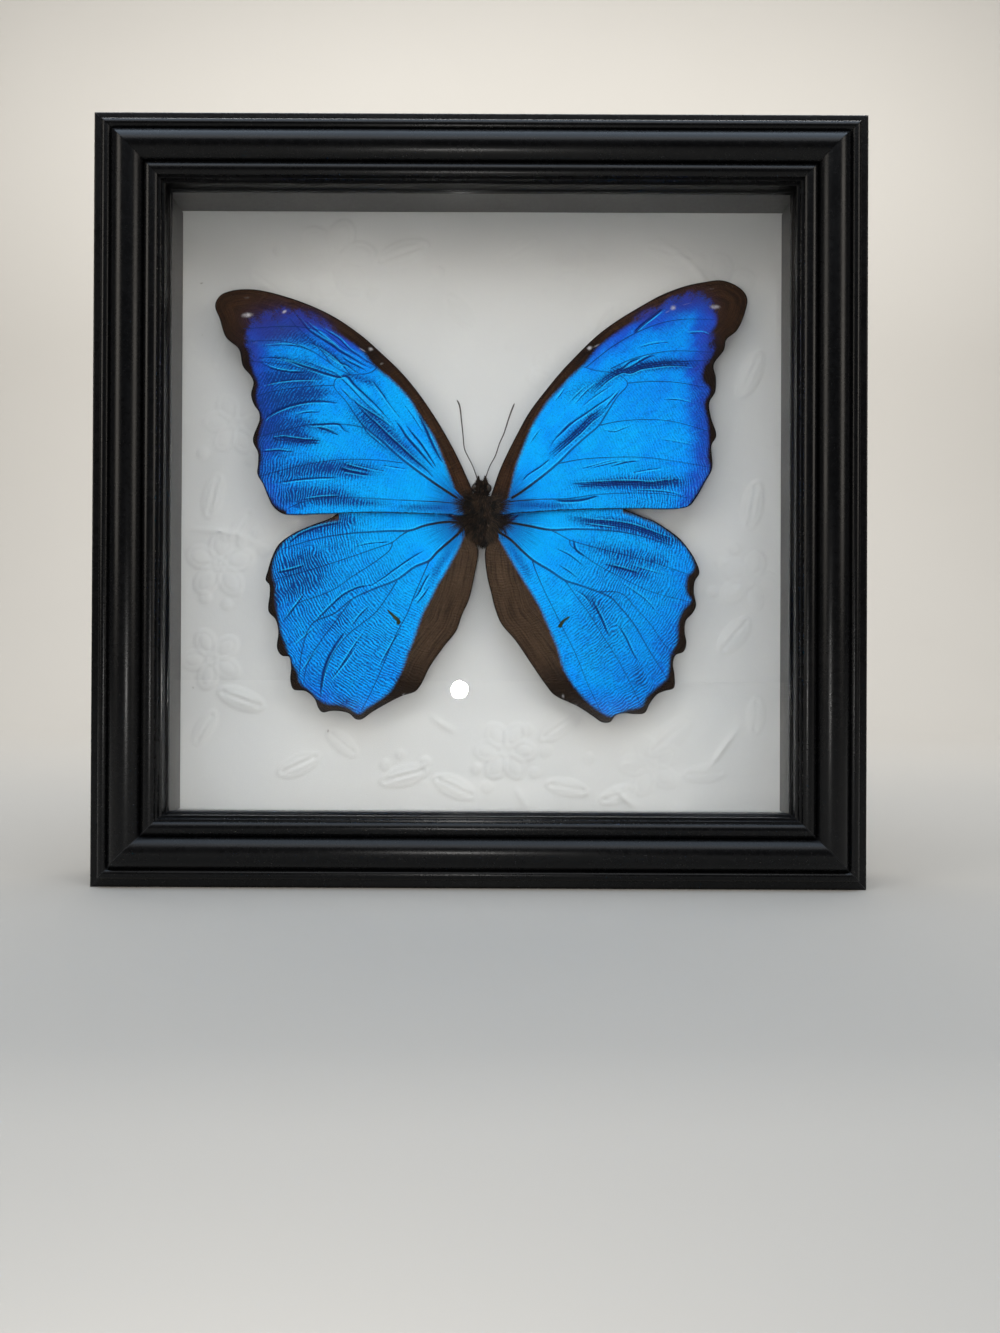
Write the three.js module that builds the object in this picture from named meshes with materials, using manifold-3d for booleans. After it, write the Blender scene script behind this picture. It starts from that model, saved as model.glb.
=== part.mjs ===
// A spread blue butterfly in a small square box frame with a glass front.
// Millimetres. X runs to the viewer's right, Y into the box and Z up. The frame stands on Z = 0.
import * as THREE from 'three';
import { mergeVertices } from 'three/addons/utils/BufferGeometryUtils.js';
import Module from 'manifold-3d';

const wasm = await Module();
wasm.setup();

// Frame
const OUTER = 200;
const EDGE_Y = -12;
const RAIL_DEPTH = 26.9;
const MITRE_GAP = 0.1;
const CLEAR = 0.3;
const REBATE_WALL = 13.5;
const LIP_REACH = 19.35;
const LIP_DEPTH = 3.3;

// What the rebate holds, from the front to the back
const PANE_THICK = 2;
const PANE_MARGIN = 13.8;
const SPACER_THICK = 3.7;
const SPACER_DEPTH = 12.8;
const PAPER_THICK = 0.35;
const BOARD_THICK = 3;
const RETAINER = { length: 9, width: 6, thick: 0.4, spread: 45 };

// Hanger on the top rail's back
const HANGER = { width: 45, height: 8.5, thick: 0.7, teeth: 15, toothDepth: 1.4, nailSpread: 18.5 };

// Specimen
const BODY_X = 0.4;
const BODY_DEPTH = 5.3;
const WING_THICK = 0.3;
const WING_RINGS = [0.4, 0.75, 1];
const WING_BOW = 1.1;
const WING_REACH = 78;
const HINDWING_BEHIND = 0.7;

const paneFrontY = EDGE_Y + LIP_DEPTH + CLEAR;
const spacerFrontY = paneFrontY + PANE_THICK + CLEAR;
const paperFrontY = spacerFrontY + SPACER_DEPTH + CLEAR;
const boardFrontY = paperFrontY + PAPER_THICK + CLEAR;
const retainerFrontY = boardFrontY + BOARD_THICK + CLEAR;
const railBackY = EDGE_Y + RAIL_DEPTH;
const bodyBackY = paperFrontY - CLEAR;
const bodyY = bodyBackY - BODY_DEPTH / 2;
const forewingY = bodyY - 2.05;
const centreZ = OUTER / 2;

function material(color, roughness, metalness = 0) {
  return new THREE.MeshStandardMaterial({ color, roughness, metalness });
}

const blackPaint = material('#0c0c0e', 0.32);
const clearGlass = new THREE.MeshStandardMaterial({
  color: '#eef4f2', roughness: 0.02, metalness: 0, transparent: true, opacity: 0.2,
});
const spacerCard = material('#4c4945', 0.8);
const whitePaper = material('#d6d5d1', 0.9);
const brownBoard = material('#6d5236', 0.85);
const zincSteel = material('#a3a4a2', 0.35, 1);
const blueScales = material('#0a7be6', 0.45);
const brownFur = material('#2c2018', 0.9);
const darkHorn = material('#211a16', 0.5);

function closedGeometry(positions, index) {
  const geometry = new THREE.BufferGeometry();
  geometry.setAttribute('position', new THREE.Float32BufferAttribute(positions, 3));
  geometry.setIndex(index);
  return geometry;
}

function addArc(points, centreP, centreH, radius, fromDeg, toDeg, steps) {
  for (let i = 0; i <= steps; i += 1) {
    const angle = THREE.MathUtils.degToRad(fromDeg + ((toDeg - fromDeg) * i) / steps);
    points.push([centreP + radius * Math.cos(angle), centreH + radius * Math.sin(angle)]);
  }
}

// Section of the moulding: distance in from the outer side, and height in front of the outer edge.
function mouldingSection() {
  const points = [[0, -RAIL_DEPTH]];
  addArc(points, 0.5, -0.5, 0.5, 180, 90, 3);
  points.push([2.3, 0]);
  addArc(points, 3.7, 0.9, 1.4, 180, 21.5, 8);
  addArc(points, 9.2, -0.5, 4.6, 155.5, 28, 14);
  points.push([13.28, 0.95]);
  addArc(points, 15.4, 0.2, 2.3, 159, 42, 9);
  points.push([17.2, 1.3], [17.75, 1.25], [17.95, 0.55], [18.6, 0.4], [18.75, -1.7]);
  addArc(points, 19.0, -2.35, 0.35, 90, 0, 3);
  points.push([LIP_REACH, -LIP_DEPTH], [REBATE_WALL, -LIP_DEPTH], [REBATE_WALL, -RAIL_DEPTH]);
  return points;
}

// One rail: the section swept along X between two 45 degree mitres, about the frame's centre.
function railGeometry(section) {
  const half = OUTER / 2;
  const positions = [];
  for (const end of [-1, 1]) {
    for (const [p, h] of section) {
      positions.push(end * (half - p - MITRE_GAP / 2), EDGE_Y - h, p - half);
    }
  }
  const count = section.length;
  const index = [];
  for (let i = 0; i < count; i += 1) {
    const next = (i + 1) % count;
    index.push(i, i + count, next, next, i + count, next + count);
  }
  const outline = section.map(([p, h]) => new THREE.Vector2(p, h));
  for (const [a, b, c] of THREE.ShapeUtils.triangulateShape(outline, [])) {
    index.push(c, b, a, a + count, b + count, c + count);
  }
  return outward(closedGeometry(positions, index));
}

function signedVolume(geometry) {
  const place = geometry.getAttribute('position');
  const corners = [new THREE.Vector3(), new THREE.Vector3(), new THREE.Vector3()];
  let volume = 0;
  for (let i = 0; i < geometry.index.count; i += 3) {
    corners.forEach((corner, k) => corner.fromBufferAttribute(place, geometry.index.getX(i + k)));
    volume += corners[0].dot(corners[1].cross(corners[2]));
  }
  return volume;
}

function outward(geometry) {
  if (signedVolume(geometry) < 0) {
    const { array } = geometry.index;
    for (let i = 0; i < array.length; i += 3) {
      [array[i], array[i + 1]] = [array[i + 1], array[i]];
    }
  }
  geometry.computeVertexNormals();
  return geometry;
}

function named(name, geometry, finish) {
  const mesh = new THREE.Mesh(geometry, finish);
  mesh.name = name;
  return mesh;
}

function slab(name, size, place, finish) {
  const mesh = named(name, new THREE.BoxGeometry(...size), finish);
  mesh.position.set(...place);
  return mesh;
}

function buildMoulding() {
  const group = new THREE.Group();
  group.position.z = centreZ;
  const geometry = railGeometry(mouldingSection());
  ['rail_bottom', 'rail_right', 'rail_top', 'rail_left'].forEach((name, turn) => {
    const rail = named(name, geometry, blackPaint);
    rail.rotation.y = (-turn * Math.PI) / 2;
    group.add(rail);
  });
  return group;
}

// The pane, the strips that hold it off the paper, the paper and the board that backs it.
function buildFilling() {
  const group = new THREE.Group();
  group.position.z = centreZ;
  const side = OUTER - 2 * PANE_MARGIN;
  const sheet = (name, thick, frontY, material) => (
    slab(name, [side, thick, side], [0, frontY + thick / 2, 0], material)
  );
  group.add(sheet('glass_pane', PANE_THICK, paneFrontY, clearGlass));
  const spacerY = spacerFrontY + SPACER_DEPTH / 2;
  const spacerOffset = (side - SPACER_THICK) / 2;
  const upright = side - 2 * (SPACER_THICK + CLEAR);
  for (const [name, sign] of [['spacer_bottom', -1], ['spacer_top', 1]]) {
    const size = [side, SPACER_DEPTH, SPACER_THICK];
    group.add(slab(name, size, [0, spacerY, sign * spacerOffset], spacerCard));
  }
  for (const [name, sign] of [['spacer_left', -1], ['spacer_right', 1]]) {
    const size = [SPACER_THICK, SPACER_DEPTH, upright];
    group.add(slab(name, size, [sign * spacerOffset, spacerY, 0], spacerCard));
  }
  group.add(sheet('backing_paper', PAPER_THICK, paperFrontY, whitePaper));
  group.add(sheet('backing_board', BOARD_THICK, boardFrontY, brownBoard));
  return group;
}

// Flat steel points pushed into the rails behind the board, two on each side.
function buildRetainers() {
  const group = new THREE.Group();
  group.position.z = centreZ;
  const { length, width, thick, spread } = RETAINER;
  const fromCentre = OUTER / 2 - REBATE_WALL - CLEAR - length / 2;
  let number = 1;
  for (let turn = 0; turn < 4; turn += 1) {
    const side = new THREE.Group();
    side.rotation.y = (-turn * Math.PI) / 2;
    for (const sign of [-1, 1]) {
      const place = [sign * spread, retainerFrontY + thick / 2, -fromCentre];
      side.add(slab(`retainer_${number}`, [width, thick, length], place, zincSteel));
      number += 1;
    }
    group.add(side);
  }
  return group;
}

function hangerOutline() {
  const { width, height, teeth, toothDepth } = HANGER;
  const toothRow = 0.7 * width;
  const shape = new THREE.Shape();
  shape.moveTo(-width / 2, height / 2);
  shape.lineTo(-width / 2, -height / 2);
  shape.lineTo(-toothRow / 2, -height / 2);
  for (let i = 0; i < teeth; i += 1) {
    const left = -toothRow / 2 + (toothRow * i) / teeth;
    shape.lineTo(left + toothRow / teeth / 2, -height / 2 + toothDepth);
    shape.lineTo(left + toothRow / teeth, -height / 2);
  }
  shape.lineTo(width / 2, -height / 2);
  shape.lineTo(width / 2, height / 2);
  return shape;
}

function buildHanger() {
  const group = new THREE.Group();
  const { thick, nailSpread } = HANGER;
  const plateY = railBackY + 0.1;
  group.position.set(0, plateY, OUTER - REBATE_WALL / 2);
  const plate = new THREE.ExtrudeGeometry(hangerOutline(), { depth: thick, bevelEnabled: false });
  plate.rotateX(Math.PI / 2).translate(0, thick, 0);
  group.add(named('hanger_plate', mergeVertices(bare(plate)), zincSteel));
  const section = [[0, 0], [1.5, 0], [1.5, 0.12], [1.1, 0.3], [0, 0.35]];
  const head = section.map(([radius, y]) => new THREE.Vector2(radius, y));
  for (const [name, sign] of [['hanger_nail_left', -1], ['hanger_nail_right', 1]]) {
    const nail = named(name, new THREE.LatheGeometry(head, 12), zincSteel);
    nail.position.set(sign * nailSpread, thick + 0.05, 0);
    group.add(nail);
  }
  return group;
}

function bare(geometry) {
  geometry.deleteAttribute('normal');
  geometry.deleteAttribute('uv');
  return geometry;
}

function solid(geometry) {
  const merged = mergeVertices(bare(geometry));
  return new wasm.Manifold(new wasm.Mesh({
    numProp: 3,
    vertProperties: new Float32Array(merged.getAttribute('position').array),
    triVerts: new Uint32Array(merged.index.array),
  }));
}

function fromSolid(body) {
  const { vertProperties, triVerts } = body.getMesh();
  return closedGeometry(Array.from(vertProperties), Array.from(triVerts));
}

function ellipsoid(radii, place) {
  return new THREE.SphereGeometry(1, 14, 10).scale(...radii).translate(...place);
}

// Head and thorax: an oval thorax, a round head, two eyes and two pointed palps.
function bodyGeometry() {
  const half = [
    [-9.2, 0], [-8.7, 0.9], [-7, 1.9], [-4.5, 2.6], [-1.5, 2.95],
    [1, 2.8], [3, 2.3], [4.4, 1.6], [4.9, 0],
  ];
  const profile = half.map(([z, radius]) => new THREE.Vector2(radius, z));
  const thorax = new THREE.LatheGeometry(profile, 16).rotateX(Math.PI / 2);
  thorax.scale(1, BODY_DEPTH / 2 / 2.95, 1);
  let whole = solid(thorax);
  whole = whole.add(solid(ellipsoid([1.9, 1.75, 1.9], [-0.25, -0.2, 5.5])));
  for (const sign of [-1, 1]) {
    whole = whole.add(solid(ellipsoid([0.95, 1.15, 1.25], [-0.25 + sign * 1.75, -0.5, 5.7])));
    const palp = new THREE.ConeGeometry(0.65, 3, 8).rotateX(Math.PI / 2);
    palp.translate(-0.25 + sign * 0.85, -0.9, 7.1);
    whole = whole.add(solid(palp));
  }
  return fromSolid(whole);
}

// How far the spread wings stand towards the glass: a low arch from the body to the tips.
function bow(x, z) {
  const reach = Math.min(Math.hypot(x - BODY_X, z) / WING_REACH, 1);
  return WING_BOW * Math.sin(Math.PI * reach);
}

function smoothLoop(outline) {
  const points = outline.map(([x, z]) => new THREE.Vector3(x, 0, z));
  const curve = new THREE.CatmullRomCurve3(points, true, 'centripetal');
  const loop = curve.getPoints(2 * outline.length).slice(0, -1);
  const flat = loop.map((point) => new THREE.Vector2(point.x, point.z));
  return THREE.ShapeUtils.isClockWise(flat) ? flat.reverse() : flat;
}

// A wing: rings of points from its root to its edge, as a thin sheet with a front, a back and a rim.
function wingGeometry(outline, root, frontY) {
  const loop = smoothLoop(outline);
  const count = loop.length;
  const positions = [];
  const index = [];
  for (const back of [0, WING_THICK]) {
    positions.push(root[0], frontY - bow(...root) + back, root[1]);
    for (const ring of WING_RINGS) {
      for (const point of loop) {
        const x = THREE.MathUtils.lerp(root[0], point.x, ring);
        const z = THREE.MathUtils.lerp(root[1], point.y, ring);
        positions.push(x, frontY - bow(x, z) + back, z);
      }
    }
  }
  const sheet = 1 + count * WING_RINGS.length;
  const face = (a, b, c) => index.push(a, b, c, c + sheet, b + sheet, a + sheet);
  for (let i = 0; i < count; i += 1) {
    const next = (i + 1) % count;
    face(0, 1 + i, 1 + next);
    for (let ring = 1; ring < WING_RINGS.length; ring += 1) {
      const inner = 1 + (ring - 1) * count;
      const outer = inner + count;
      face(inner + i, outer + i, outer + next);
      face(inner + i, outer + next, inner + next);
    }
    const rim = 1 + (WING_RINGS.length - 1) * count;
    index.push(rim + i, rim + i + sheet, rim + next, rim + next, rim + i + sheet, rim + next + sheet);
  }
  return outward(closedGeometry(positions, index));
}

// Wing outlines, from the body forwards round the tip and back. X and Z from the frame's centre.
const FOREWING_LEFT = [
  [-1.9, 3.5], [-4.4, 9.8], [-8.2, 17.4], [-12.6, 24.8], [-17, 31.1], [-21.4, 36.4], [-25.6, 40.5],
  [-32.9, 47], [-41.2, 52.4], [-51, 56.6], [-59.5, 58.8], [-63.5, 59.2], [-67.5, 58.9], [-70.9, 57.6],
  [-72.3, 54.9], [-71.1, 51.3], [-69.3, 46.2], [-65.8, 43], [-64.7, 38.4], [-62.5, 35.7], [-61.7, 33.8],
  [-62.3, 30.5], [-61.5, 27.8], [-60.2, 25.9], [-60, 23.7], [-61.7, 18.1], [-60.3, 14.7], [-60.3, 11.8],
  [-60.5, 9.1], [-58.9, 6.2], [-57.7, 3.3], [-56, 0.1], [-53.3, -1.8], [-50.5, -2.1], [-43.6, -1.9],
  [-27.4, -1.4], [-9.7, -1.7], [-1.9, -1.4],
];
const FOREWING_RIGHT = [
  [2.7, 3.3], [3.6, 6.2], [5.2, 10.7], [7.5, 15.7], [9.8, 20.2], [13, 25.9], [17.9, 32.5],
  [23.5, 39.1], [30, 45.7], [34, 49], [42.9, 54.9],
  [51.3, 59.3], [59.7, 61.6], [65.8, 62.2], [70.4, 60.1], [72.1, 57.5], [71.6, 54], [69.3, 48.7],
  [66.3, 46], [65.7, 43.3], [62.9, 39.1], [63.5, 35.7], [63.3, 31.8], [61.7, 28.8], [62.1, 25],
  [63.7, 20], [62.4, 17.3], [62.6, 11.2], [60.7, 7.4], [58, 2.7], [56.6, 1], [53.8, 0.1], [40.1, -0.1],
  [24.8, -0.4], [9.6, -1.3], [2.7, -1.4],
];
const HINDWING_LEFT = [
  [-2.5, 0.6], [-20, 3.4], [-33, 1.9], [-40.9, -2.9], [-45.7, -4.7], [-49.8, -6.5], [-53, -8.5],
  [-54.9, -10.2], [-56.4, -13.1], [-57.6, -17], [-58.2, -19.6], [-57.2, -20.9], [-57.1, -23.6],
  [-57.5, -28], [-55.6, -30.2], [-54.7, -33.4], [-55, -38.2], [-53.7, -40.1], [-51.8, -40.4],
  [-51.3, -42.9], [-51.5, -46.8], [-50.6, -49.2], [-47.3, -49.7], [-44.8, -51.8], [-43.8, -54.3],
  [-42.7, -55.4], [-40.3, -55], [-37.6, -55.1], [-35.4, -55.7], [-33.7, -57.2], [-32.2, -57.3],
  [-29.4, -55.4], [-24.8, -52.7], [-21, -50.8], [-17.5, -49.6], [-16, -47.8], [-13.6, -43],
  [-9.9, -37.6], [-6.5, -33.2], [-4.9, -28.8], [-3.1, -24.7], [-1.5, -17.7], [-0.6, -11.5],
  [-1.5, -8.4], [-2, -5.5], [-2.5, -2],
];
const HINDWING_RIGHT = [
  [3.3, 0.6], [18, 3.6], [31, 2.9], [42.3, -1.4], [46.9, -3.2], [51.1, -5.7], [54, -8], [56.1, -10.5],
  [58.2, -13.8], [59.3, -17.2], [58.1, -19.4], [57.8, -22.2], [58.4, -26.1], [57.4, -28.2],
  [55.7, -30.1], [55.4, -33], [55.9, -36.2], [55.2, -38.5], [53, -39.5], [52.3, -41.8], [52.7, -45.1],
  [52.5, -48.4], [50, -49.2], [47.9, -50.2], [46, -52.7], [44.7, -55.2], [42.1, -55.5], [39.2, -55.3],
  [36.8, -55.9], [35.3, -57.7], [33, -57.7], [30.9, -56.3], [26.7, -53.6], [20, -50.3], [17.9, -47.8],
  [14.1, -42.4], [9.5, -35.7], [5.7, -31.2], [4.1, -27.4], [2.8, -22.4], [1.7, -17.8], [1.2, -11.5],
  [2.2, -8.4], [2.8, -5.5], [3.3, -2],
];

// A round rod along a smooth curve, whose radius follows the radii given from end to end.
function taperedRod(points, radii, sides, steps) {
  const curve = new THREE.CatmullRomCurve3(points.map((point) => new THREE.Vector3(...point)));
  const frames = curve.computeFrenetFrames(steps, false);
  const positions = [];
  for (let i = 0; i <= steps; i += 1) {
    const centre = curve.getPointAt(i / steps);
    const at = (i / steps) * (radii.length - 1);
    const low = Math.min(Math.floor(at), radii.length - 2);
    const radius = THREE.MathUtils.lerp(radii[low], radii[low + 1], at - low);
    for (let k = 0; k < sides; k += 1) {
      const angle = (2 * Math.PI * k) / sides;
      const spoke = frames.normals[i].clone().multiplyScalar(radius * Math.cos(angle));
      spoke.addScaledVector(frames.binormals[i], radius * Math.sin(angle)).add(centre);
      positions.push(spoke.x, spoke.y, spoke.z);
    }
  }
  const index = [];
  for (let i = 0; i < steps; i += 1) {
    for (let k = 0; k < sides; k += 1) {
      const a = i * sides + k;
      const b = i * sides + ((k + 1) % sides);
      index.push(a, b, a + sides, a + sides, b, b + sides);
    }
  }
  const last = steps * sides;
  for (let k = 1; k < sides - 1; k += 1) {
    index.push(0, k + 1, k, last, last + k, last + k + 1);
  }
  return outward(closedGeometry(positions, index));
}

const ANTENNA_LEFT = [
  [-1.35, -1.1, 9], [-3.6, -1.4, 13.5], [-4.6, -1.6, 16.1], [-5.2, -1.8, 19.8],
  [-5.9, -1.95, 25], [-7, -2, 29.5],
];
const ANTENNA_RIGHT = [
  [0.85, -1.1, 9], [2.2, -1.4, 12.1], [4.1, -1.6, 16.6], [6.1, -1.8, 21.5],
  [7.7, -1.95, 26], [8.6, -2, 28.6],
];
const ANTENNA_RADII = [0.17, 0.15, 0.16, 0.18, 0.21, 0.23, 0.12];

function buildSpecimen() {
  const group = new THREE.Group();
  group.position.z = centreZ;
  const hindwingY = forewingY + HINDWING_BEHIND;
  group.add(named('forewing_left', wingGeometry(FOREWING_LEFT, [-3.4, 1], forewingY), blueScales));
  group.add(named('forewing_right', wingGeometry(FOREWING_RIGHT, [4.2, 1], forewingY), blueScales));
  group.add(named('hindwing_left', wingGeometry(HINDWING_LEFT, [-4.4, -3], hindwingY), blueScales));
  group.add(named('hindwing_right', wingGeometry(HINDWING_RIGHT, [5.2, -3], hindwingY), blueScales));
  const middle = new THREE.Group();
  middle.position.set(BODY_X, bodyY, 0);
  middle.add(named('body', bodyGeometry(), brownFur));
  middle.add(named('antenna_left', taperedRod(ANTENNA_LEFT, ANTENNA_RADII, 8, 22), darkHorn));
  middle.add(named('antenna_right', taperedRod(ANTENNA_RIGHT, ANTENNA_RADII, 8, 22), darkHorn));
  group.add(middle);
  return group;
}

const framedSpecimen = new THREE.Group();
framedSpecimen.add(buildMoulding(), buildFilling(), buildRetainers(), buildHanger(), buildSpecimen());

export default framedSpecimen;
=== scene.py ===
"""A spread blue butterfly in a small square box frame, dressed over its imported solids."""

import math

import bmesh
import bpy
import numpy as np
from mathutils import Matrix, Vector


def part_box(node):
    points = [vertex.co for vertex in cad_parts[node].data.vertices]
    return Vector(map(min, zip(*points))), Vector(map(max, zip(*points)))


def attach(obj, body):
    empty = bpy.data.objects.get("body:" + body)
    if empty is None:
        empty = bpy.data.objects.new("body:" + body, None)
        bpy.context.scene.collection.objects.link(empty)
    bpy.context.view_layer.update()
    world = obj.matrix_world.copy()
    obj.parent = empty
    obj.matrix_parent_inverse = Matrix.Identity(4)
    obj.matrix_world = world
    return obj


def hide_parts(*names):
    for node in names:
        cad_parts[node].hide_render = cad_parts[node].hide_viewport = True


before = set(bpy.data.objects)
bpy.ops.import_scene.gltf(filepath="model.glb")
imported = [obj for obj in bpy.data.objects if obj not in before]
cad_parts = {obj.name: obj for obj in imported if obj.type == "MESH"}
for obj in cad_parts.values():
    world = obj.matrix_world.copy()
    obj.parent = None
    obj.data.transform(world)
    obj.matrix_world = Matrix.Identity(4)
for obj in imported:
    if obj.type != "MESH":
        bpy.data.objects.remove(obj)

bl_info = {
    "name": "Framed butterfly specimen",
    "version": (1, 0, 0),
    "blender": (4, 5, 0),
    "location": "3D View > Sidebar > Specimen",
    "description": "Builds the moulding, glass, embossed paper and spread butterfly of a box frame",
    "category": "Add Mesh",
}

MM = 0.001
# Half the frame's outer side, the place of its outer edge, and what a rail has too much for its mitres.
HALF = 100.0
EDGE_Y = -12.0
SPARE = 2.0
CENTRE = Vector((0, 0, 0.1))
# The body's middle, and how far back the wings' fronts lie.
BODY_X = 0.4
FOREWING_Y = 2.0
HINDWING_Y = 2.7

# The wings, seen from the front: X and Z from the frame's centre, in millimetres.
# stems are the numbers of the veins that thin out from the root, and ripple has the strength of the
# ripples' painted shade and glints and the height that it stays below. A pleat has its half width,
# the side of its crest (1 for above), which is painted as a highlight while its crease is painted as
# shade, and its line. shades are bands of painted shade along the wing's undulations and haze is a
# violet veil; both are soft bands: half width, depth and line. A fleck has its place, half length,
# half width, turn in degrees and strength. tear is a small damaged spot.

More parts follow.
